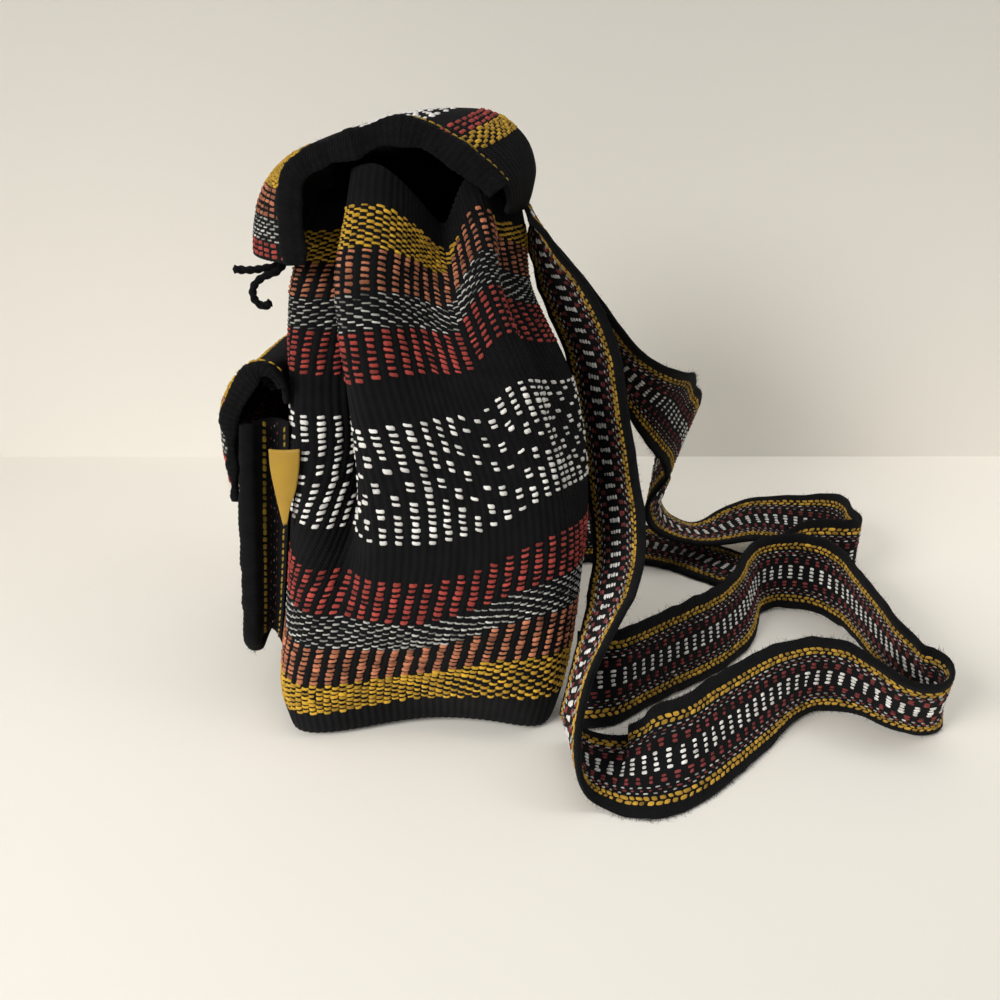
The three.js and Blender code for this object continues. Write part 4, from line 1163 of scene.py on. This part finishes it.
def sheet_length(surface):
    """Length of a sheet along its middle line."""
    u = np.linspace(0, 1, 200)
    return float(np.linalg.norm(np.diff(surface(u, 0 * u + 0.5), axis=0), axis=1).sum())


def add_tube(name, ring, lengths, material):
    """A closed tube through rings of points (rings, points, 3), each end shut to its middle."""
    rows, count = ring.shape[:2]
    faces = [grid_faces(rows, count, True), *end_fans(rows, count)]
    points = np.concatenate([ring.reshape(-1, 3), ring[0].mean(0)[None], ring[-1].mean(0)[None]])
    round_about = np.linspace(0, 8, count)[None]
    uv = np.stack(np.broadcast_arrays(round_about, lengths[:, None] / 3), -1).reshape(-1, 2)
    return make_piece(name, points, faces, material, np.concatenate([uv, uv[:2]]))


def lengths_along(path):
    """Length of a path up to each of its points."""
    return np.concatenate([[0], np.cumsum(np.linalg.norm(np.diff(path, axis=0), axis=1))])


def lumps(length, spread, seed, apart=5.0):
    """Unevenness of hand-spun edges: random heights some millimetres apart, joined by straight lines."""
    random = np.random.default_rng(seed)
    knots = np.arange(0, length[-1] + 2 * apart, apart)
    return np.interp(length, knots, random.normal(0, spread, len(knots)))


def wraps(length, angle):
    """Ridges of yarn wound round an edge: a sine along it, turned half a ridge for each turn round."""
    return WRAP_HIGH * np.sin(TURN * length[:, None] / WRAP_APART + 2 * angle)


def edge_frame(surface, side, u):
    """A flap's side edge: its points, the way out from it and the way up from its outer face."""
    v = 0 * u + (0.0 if side < 0 else 1.0)
    edge = surface(u, v)
    run = unit(surface(np.minimum(1, u + 0.01), v) - surface(np.maximum(0, u - 0.01), v))
    out = np.array([[0.0, side, 0.0]])
    out = unit(out - run * (run * out).sum(-1, keepdims=True))
    return edge, out, unit(np.cross(run, out)) * -side


def add_binding(name, surface, side, start, deep, line):
    """Webbing folded over one side edge of a flap: a rounded profile carried along the edge, thick across and
    deep down, with a thin line of yarn (its yarn, first and last share of the edge, width) along the top."""
    u = np.linspace(start, 1, BINDING_STEPS)
    edge, across, up = edge_frame(surface, side, u)
    length = lengths_along(edge)
    angle = np.linspace(0, TURN, BINDING_SIDES, endpoint=False)[None]
    depth = deep(u)[:, None]
    wave = lumps(length, BINDING_UNEVEN, 5 if side < 0 else 6)[:, None] + wraps(length, angle)
    a = BINDING_OUT + (BINDING_HALF + wave) * oval(np.cos(angle), 0.8)
    b = BINDING_TOP - depth / 2 + (depth / 2 + BINDING_PLUMP + wave) * oval(np.sin(angle), 0.6)
    ring = edge[:, None] + across[:, None] * (BINDING_GAP + a)[..., None] + up[:, None] * b[..., None]
    if side > 0:
        ring = ring[:, ::-1]
    made = add_tube(name, ring, length, yarn_material("black"))
    yarn, first, last, wide = line
    top = edge + up * LINE_UP + across * (BINDING_GAP + LINE_OUT)
    strip = np.stack([top - across * wide / 2, top + across * wide / 2], 1)
    chain = Cloth(strip, length, 1.0, normals=np.repeat(up[:, None], 2, 1))
    at = np.arange(first, last, LINE_APART / length[-1]) * length[-1]
    pick = [size * np.ones((len(at), 1, 1)) for size in LINE_PICK]
    picks = lay_picks(chain, 0 * at + 0.5, at, *pick, slant=0.2, seed=40)
    stitched = make_piece(f"{name}_line", picks[0], [picks[1]], yarn_material(yarn), picks[2], picks[3])
    carried(stitched, "binding")
    return carried(made, "binding", name)


class FlapOperator(bpy.types.Operator):
    """The top flap with its weft picks and its two bindings"""

    bl_idname = "backpack.top_flap"
    bl_label = "Top flap"

    def execute(self, context):
        size = settings()
        length = sheet_length(flap_surface)
        steps = (FLAP_STEPS, FLAP_COLUMNS, COLUMN_STEPS)
        made, cloth = sheet_solid("top_flap_cloth", flap_surface, *steps, length, size.cloth, size.rib)
        carried(made, "flap_cloth", "top_flap")
        scale = length / sum(high for _, _, high in FLAP_STRIPES)
        laid = stripe_picks(FLAP_STRIPES, FLAP_COLUMNS, 0.0, scale, centre=10, repeat=size.repeat)
        weft = add_weft("top_flap_weft", cloth, laid, "flap_cloth", 31)
        line = ("olive", 0.0, 0.32, 1.4)
        for name, side in (("flap_binding_near", -1), ("flap_binding_far", 1)):
            add_binding(name, flap_surface, side, FLAP_BINDING_FROM, lambda u: 0 * u + BINDING_DEEP, line)
        return {"FINISHED"}


def pocket_edge():
    """The pocket's edge down one side, round the bottom and up the other, and the way in from it."""
    low, straight = POCKET_LOW + POCKET_CORNER, POCKET_HALF - POCKET_CORNER
    turn = np.linspace(0, np.pi / 2, CORNER_STEPS)
    y = np.concatenate([np.full(SIDE_STEPS, -POCKET_HALF), -straight - POCKET_CORNER * np.cos(turn)])
    side = np.linspace(POCKET_HIGH, low, SIDE_STEPS, endpoint=False)
    z = np.concatenate([side, low - POCKET_CORNER * np.sin(turn)])
    corner = np.stack([np.cos(turn), np.sin(turn)], 1)
    into = np.concatenate([np.tile([1.0, 0.0], (SIDE_STEPS, 1)), corner])
    floor = np.linspace(-straight, 0, FLOOR_STEPS + 1)[1:]
    y, z = np.concatenate([y, floor]), np.concatenate([z, np.full(FLOOR_STEPS, POCKET_LOW)])
    into = np.concatenate([into, np.tile([0.0, 1.0], (FLOOR_STEPS, 1))])
    y, z = np.concatenate([y, -y[-2::-1]]), np.concatenate([z, z[-2::-1]])
    return y, z, np.concatenate([into, into[-2::-1] * [-1, 1]])


def roll_path(steps=500):
    """Middle of the roll along the pocket's edge and the way out from it, at even steps."""
    y, z, into = pocket_edge()
    x = front_wall(y, z) - through(POCKET_ROWS["z"], POCKET_ROWS["out"], z)
    path = np.stack([x, y, z], -1)
    length = lengths_along(path)
    at = np.linspace(0, length[-1], steps)
    read = lambda grid: np.stack([np.interp(at, length, grid[:, k]) for k in range(3)], -1)
    return read(path), unit(read(np.stack([0 * y, -into[:, 0], -into[:, 1]], -1)))


class PocketOperator(bpy.types.Operator):
    """The pocket's panel with its weft picks, the gusset folded behind it and the roll along its edge"""

    bl_idname = "backpack.pocket"
    bl_label = "Pocket"

    def execute(self, context):
        size = settings()
        length = POCKET_HIGH - POCKET_LOW
        steps = (POCKET_STEPS, POCKET_COLUMNS, POCKET_COLUMN_STEPS)
        made, cloth = sheet_solid("pocket_cloth", pocket_surface, *steps, length, size.cloth, size.rib)
        carried(made, "pocket_cloth", "pocket_front")
        scale = (length - POCKET_MARGIN) / POCKET_STRIPES_HIGH
        laid = stripe_picks(
            POCKET_STRIPES, POCKET_COLUMNS, POCKET_FIRST, scale, centre=10, repeat=size.repeat
        )
        add_weft("pocket_weft", cloth, laid, "pocket_cloth", 51)
        self.add_gusset(size)
        self.add_roll()
        return {"FINISHED"}

    def add_gusset(self, size):
        """Webbing along the pocket's edge, folded inwards between panel and bag by a half sine."""
        y, z, into = pocket_edge()
        wall = front_wall(y, z) - GUSSET_GAP
        panel = front_wall(y, z) - through(POCKET_ROWS["z"], POCKET_ROWS["out"], z) + size.cloth / 2 + 0.5
        share = np.linspace(0, 1, GUSSET_STEPS)[None]
        tuck = POCKET_TUCK * np.sin(np.pi * share)
        x = panel[:, None] + (wall - panel)[:, None] * share

        def layer(inward):
            aside = y[:, None] + into[:, :1] * (tuck + inward)
            return np.stack([x, aside, z[:, None] + into[:, 1:] * (tuck + inward)], -1)

        outer, inner = layer(0.0), layer(size.webbing)
        ring = np.concatenate([inner, outer[:, ::-1]], 1)
        run = lengths_along(np.stack([y, z], -1))
        faces = [grid_faces(len(y), 2 * GUSSET_STEPS, True), pair_caps(len(y), 2 * GUSSET_STEPS)]
        weave = np.stack(np.broadcast_arrays(share * 8, run[:, None] / 3), -1)
        uv = np.concatenate([weave, weave[:, ::-1]], 1)
        made = make_piece("pocket_gusset", ring, faces, yarn_material("black"), uv)
        carried(made, "webbing", "pocket_gusset")
        cloth = Cloth(outer, run, GUSSET_PLACES)
        out = np.stack([0 * y, -into[:, 0], -into[:, 1]], -1)[:, None]
        if np.sum(cloth.normals * out) < 0:
            cloth.normals *= -1
        add_threads("pocket_gusset", cloth, GUSSET_THREADS, run[-1], "webbing", 61, thick=0.6)

    def add_roll(self):
        """The panel's edge rolled in black webbing: a fat oval profile carried along the pocket's edge."""
        path, out = roll_path()
        length = lengths_along(path)
        angle = np.linspace(0, TURN, ROLL_SIDES, endpoint=False)[None]
        wave = lumps(length, ROLL_UNEVEN, 8)[:, None] + wraps(length, angle)
        thick = (ROLL_HALF + wave) * oval(np.cos(angle), 0.85)
        high = ROLL_OUT + (ROLL_HIGH + wave) * oval(np.sin(angle), 0.85)
        ring = path[:, None] + np.array([1.0, 0, 0]) * thick[..., None] + out[:, None] * high[..., None]
        made = add_tube("pocket_roll", ring, length, yarn_material("black"))
        carried(made, "binding")


def add_threads(prefix, cloth, threads, length, slot, seed, thick=0.75, sides=None):
    """Threads that float along a band: at each place across, picks of one length at an even spacing."""
    made = []
    for yarn in sorted({t[1] for t in threads}):
        parts = []
        for k, (across, of, long, apart, phase, wide, slant) in enumerate(threads):
            if of != yarn:
                continue
            at = np.arange(2 + phase * apart, length - 2, apart)
            pick = [size * np.ones((len(at), 1, 1)) for size in (wide, long, thick)]
            for m, band in enumerate(sides or [cloth]):
                parts.append(lay_picks(band, 0 * at + across, at, *pick, slant, seed + 9 * k + m))
        shift = np.cumsum([0] + [len(p[0]) for p in parts])[:-1]
        points = np.concatenate([p[0] for p in parts])
        faces = np.concatenate([p[1] + s for p, s in zip(parts, shift)])
        uv = np.concatenate([p[2].reshape(-1, 2) for p in parts])
        shade = np.concatenate([p[3].ravel() for p in parts])
        piece = make_piece(f"{prefix}_{yarn}", points, [faces], yarn_material(yarn), uv, shade)
        made.append(carried(piece, slot))
    return made


class PocketFlapOperator(bpy.types.Operator):
    """The pocket's flap with its weft picks and its two bindings"""

    bl_idname = "backpack.pocket_flap"
    bl_label = "Pocket flap"

    def execute(self, context):
        size = settings()
        length = sheet_length(pocket_flap_surface)
        steps = (POCKET_FLAP_STEPS, POCKET_COLUMNS, POCKET_COLUMN_STEPS)
        made, cloth = sheet_solid(
            "pocket_flap_cloth", pocket_flap_surface, *steps, length, size.cloth, size.rib
        )
        carried(made, "pocket_cloth", "pocket_flap")
        scale = length / sum(high for _, _, high in POCKET_FLAP_STRIPES)
        laid = stripe_picks(POCKET_FLAP_STRIPES, POCKET_COLUMNS, 0.0, scale)
        weft = add_weft("pocket_flap_weft", cloth, laid, "pocket_cloth", 71)
        deep = lambda u: along(POCKET_FLAP_ROWS, "deep", u)[0]
        line = ("yellow", 0.08, 0.5, 1.4)
        for name, side in (("pocket_flap_binding_near", -1), ("pocket_flap_binding_far", 1)):
            add_binding(name, pocket_flap_surface, side, POCKET_BINDING_FROM, deep, line)
        return {"FINISHED"}


class LabelOperator(bpy.types.Operator):
    """The blank label sewn into the pocket's near seam"""

    bl_idname = "backpack.label"
    bl_label = "Label"

    def execute(self, context):
        made, _ = sheet_solid(
            "label_tape", label_surface, 28, 4, 4, LABEL_LENGTH, LABEL_THICK, 0.0, tape_material()
        )
        carried(made, "label", "label")
        return {"FINISHED"}


class StrapsOperator(bpy.types.Operator):
    """Both shoulder straps: a band with rolled black edges and floating threads on both faces"""

    bl_idname = "backpack.straps"
    bl_label = "Straps"

    def execute(self, context):
        size = settings()
        for name, rows, seed in (("strap_near", STRAP_NEAR, 101), ("strap_far", STRAP_FAR, 201)):
            t = np.linspace(0, 1, 12 * len(rows["x"]))
            edge, across, face = strap_frame(rows, t)
            length = lengths_along(edge + across * size.strap_width / 2)
            t = np.interp(np.linspace(0, length[-1], int(length[-1] / STRAP_STEP)), length, t)
            edge, across, face = strap_frame(rows, t)
            run = np.linspace(0, length[-1], len(t))
            rounded = np.array(STRAP_EDGES)
            a = np.concatenate([rounded, np.linspace(0.04, 0.96, 23), 1 - rounded[::-1]])[None]
            edged = np.minimum(a, 1 - a) * size.strap_width
            swell = 1 + STRAP_ROLL * np.exp(-(((edged - STRAP_ROLL_AT) / STRAP_ROLL_WIDE) ** 2))
            half = size.webbing / 2 * np.sqrt(np.clip(edged / 1.1, 0, 1)) * swell
            near_edge = lumps(run, STRAP_UNEVEN, seed)[:, None]
            far_edge = lumps(run, STRAP_UNEVEN, seed + 1)[:, None]
            uneven = near_edge * (1 - a) ** 6 - far_edge * a**6
            band = edge[:, None] + across[:, None] * (a * size.strap_width + uneven)[..., None]
            front = band + face[:, None] * half[..., None]
            back = band - face[:, None] * half[..., None]
            made = add_tube(name, np.concatenate([front, back[:, -2:0:-1]], 1), run, yarn_material("black"))
            carried(made, "webbing", name)
            places = a[0] * size.strap_width
            sides = [
                Cloth(side, run, places, normals=np.broadcast_to(face[:, None] * way, side.shape))
                for side, way in ((front, 1), (back, -1))
            ]
            mirrored = [(size.strap_width - x, *rest[:-1], -rest[-1]) for x, *rest in STRAP_THREADS]
            threads = list(STRAP_THREADS) + mirrored
            weft = add_threads(name, sides[0], threads, length[-1], "webbing", seed, sides=sides)
        return {"FINISHED"}


class FuzzOperator(bpy.types.Operator):
    """Loose fibres along the black edges of the straps, the flaps and the pocket"""

    bl_idname = "backpack.fuzz"
    bl_label = "Loose fibres"

    def execute(self, context):
        size = settings()
        random = np.random.default_rng(77)
        roots, ways = [], []
        for rows, count in ((STRAP_NEAR, NEAR_FIBRES), (STRAP_FAR, FAR_FIBRES)):
            t = random.random(count)
            edge, across, face = strap_frame(rows, t)
            far = random.random(count)[:, None] < 0.5
            roots.append(edge + across * np.where(far, size.strap_width - 0.3, 0.3))
            ways.append(across * np.where(far, 1, -1) + face * random.normal(0, 0.6, count)[:, None])
        for surface, start in ((flap_surface, FLAP_BINDING_FROM), (pocket_flap_surface, POCKET_BINDING_FROM)):
            for side in (-1, 1):
                count = BINDING_FIBRES
                u = start + (1 - start) * random.random(count)
                edge, out, up = edge_frame(surface, side, u)
                aside = random.uniform(0.1, 1, count)[:, None]
                above = random.uniform(-0.4, 1, count)[:, None]
                roots.append(edge + out * (BINDING_GAP + 1.8) + up * random.uniform(-6, 1.8, count)[:, None])
                ways.append(out * aside + up * above)
        path, out = roll_path(ROLL_FIBRES)
        aside = random.normal(0, 1, (len(path), 1)) * np.array([1.0, 0, 0])
        roots.append(path + out * 3.0 + aside)
        ways.append(out + 0.5 * aside)
        root = np.concatenate(roots)
        count = len(root)
        way = unit(unit(np.concatenate(ways)) + random.normal(0, 0.35, (count, 3)))
        side = unit(np.cross(way, random.normal(0, 1, (count, 3))))
        other = np.cross(way, side)
        long = size.fuzz * random.gamma(3.0, 0.33, count)[:, None]
        aside = side * random.normal(0, 0.5, count)[:, None]
        curl = (aside + other * random.normal(0, 0.5, count)[:, None]) * long
        level = lambda s: root + way * long * s + curl * s * s
        angle = TURN * np.arange(3) / 3
        ring = side[:, None] * np.cos(angle)[None, :, None] + other[:, None] * np.sin(angle)[None, :, None]
        low = level(0.0)[:, None] + ring * FIBRE_THICK
        mid = level(0.55)[:, None] + ring * FIBRE_THICK * 0.8
        points = np.concatenate([low, mid, level(1.0)[:, None]], 1)
        points[..., 2] = np.maximum(points[..., 2], 0.1)
        first = (np.arange(count) * 7)[:, None, None]
        walls = np.array([[0, 1, 4, 3], [1, 2, 5, 4], [2, 0, 3, 5]])
        tips = np.array([[3, 4, 6], [4, 5, 6], [5, 3, 6]])
        faces = [(first + walls[None]).reshape(-1, 4), (first + tips[None]).reshape(-1, 3)]
        made = make_piece("loose_fibres", points.reshape(-1, 3), faces, yarn_material("black"))
        carried(made, "webbing")
        return {"FINISHED"}


class BackpackPanel(bpy.types.Panel):
    """Lists the settings and the pieces of the backpack"""

    bl_idname = "VIEW3D_PT_backpack"
    bl_label = "Woven Backpack"
    bl_space_type = "VIEW_3D"
    bl_region_type = "UI"
    bl_category = "Backpack"

    def draw(self, context):
        for name in BackpackSettings.__annotations__:
            self.layout.prop(context.scene.backpack, name)
        for operator in OPERATORS:
            self.layout.operator(operator.bl_idname)


OPERATORS = (
    StageOperator,
    DrawstringOperator,
    BagOperator,
    FlapOperator,
    PocketOperator,
    PocketFlapOperator,
    LabelOperator,
    StrapsOperator,
    FuzzOperator,
)


def register():
    for cls in (BackpackSettings, *OPERATORS, BackpackPanel):
        bpy.utils.register_class(cls)
    bpy.types.Scene.backpack = PointerProperty(type=BackpackSettings)


def unregister():
    del bpy.types.Scene.backpack
    for cls in reversed((BackpackSettings, *OPERATORS, BackpackPanel)):
        bpy.utils.unregister_class(cls)


def main():
    register()
    bpy.ops.backpack.stage()
    bpy.ops.backpack.drawstring()
    bpy.ops.backpack.bag()
    bpy.ops.backpack.top_flap()
    bpy.ops.backpack.pocket()
    bpy.ops.backpack.pocket_flap()
    bpy.ops.backpack.label()
    bpy.ops.backpack.straps()
    bpy.ops.backpack.fuzz()
    bpy.context.view_layer.update()


if __name__ == "__main__":
    main()
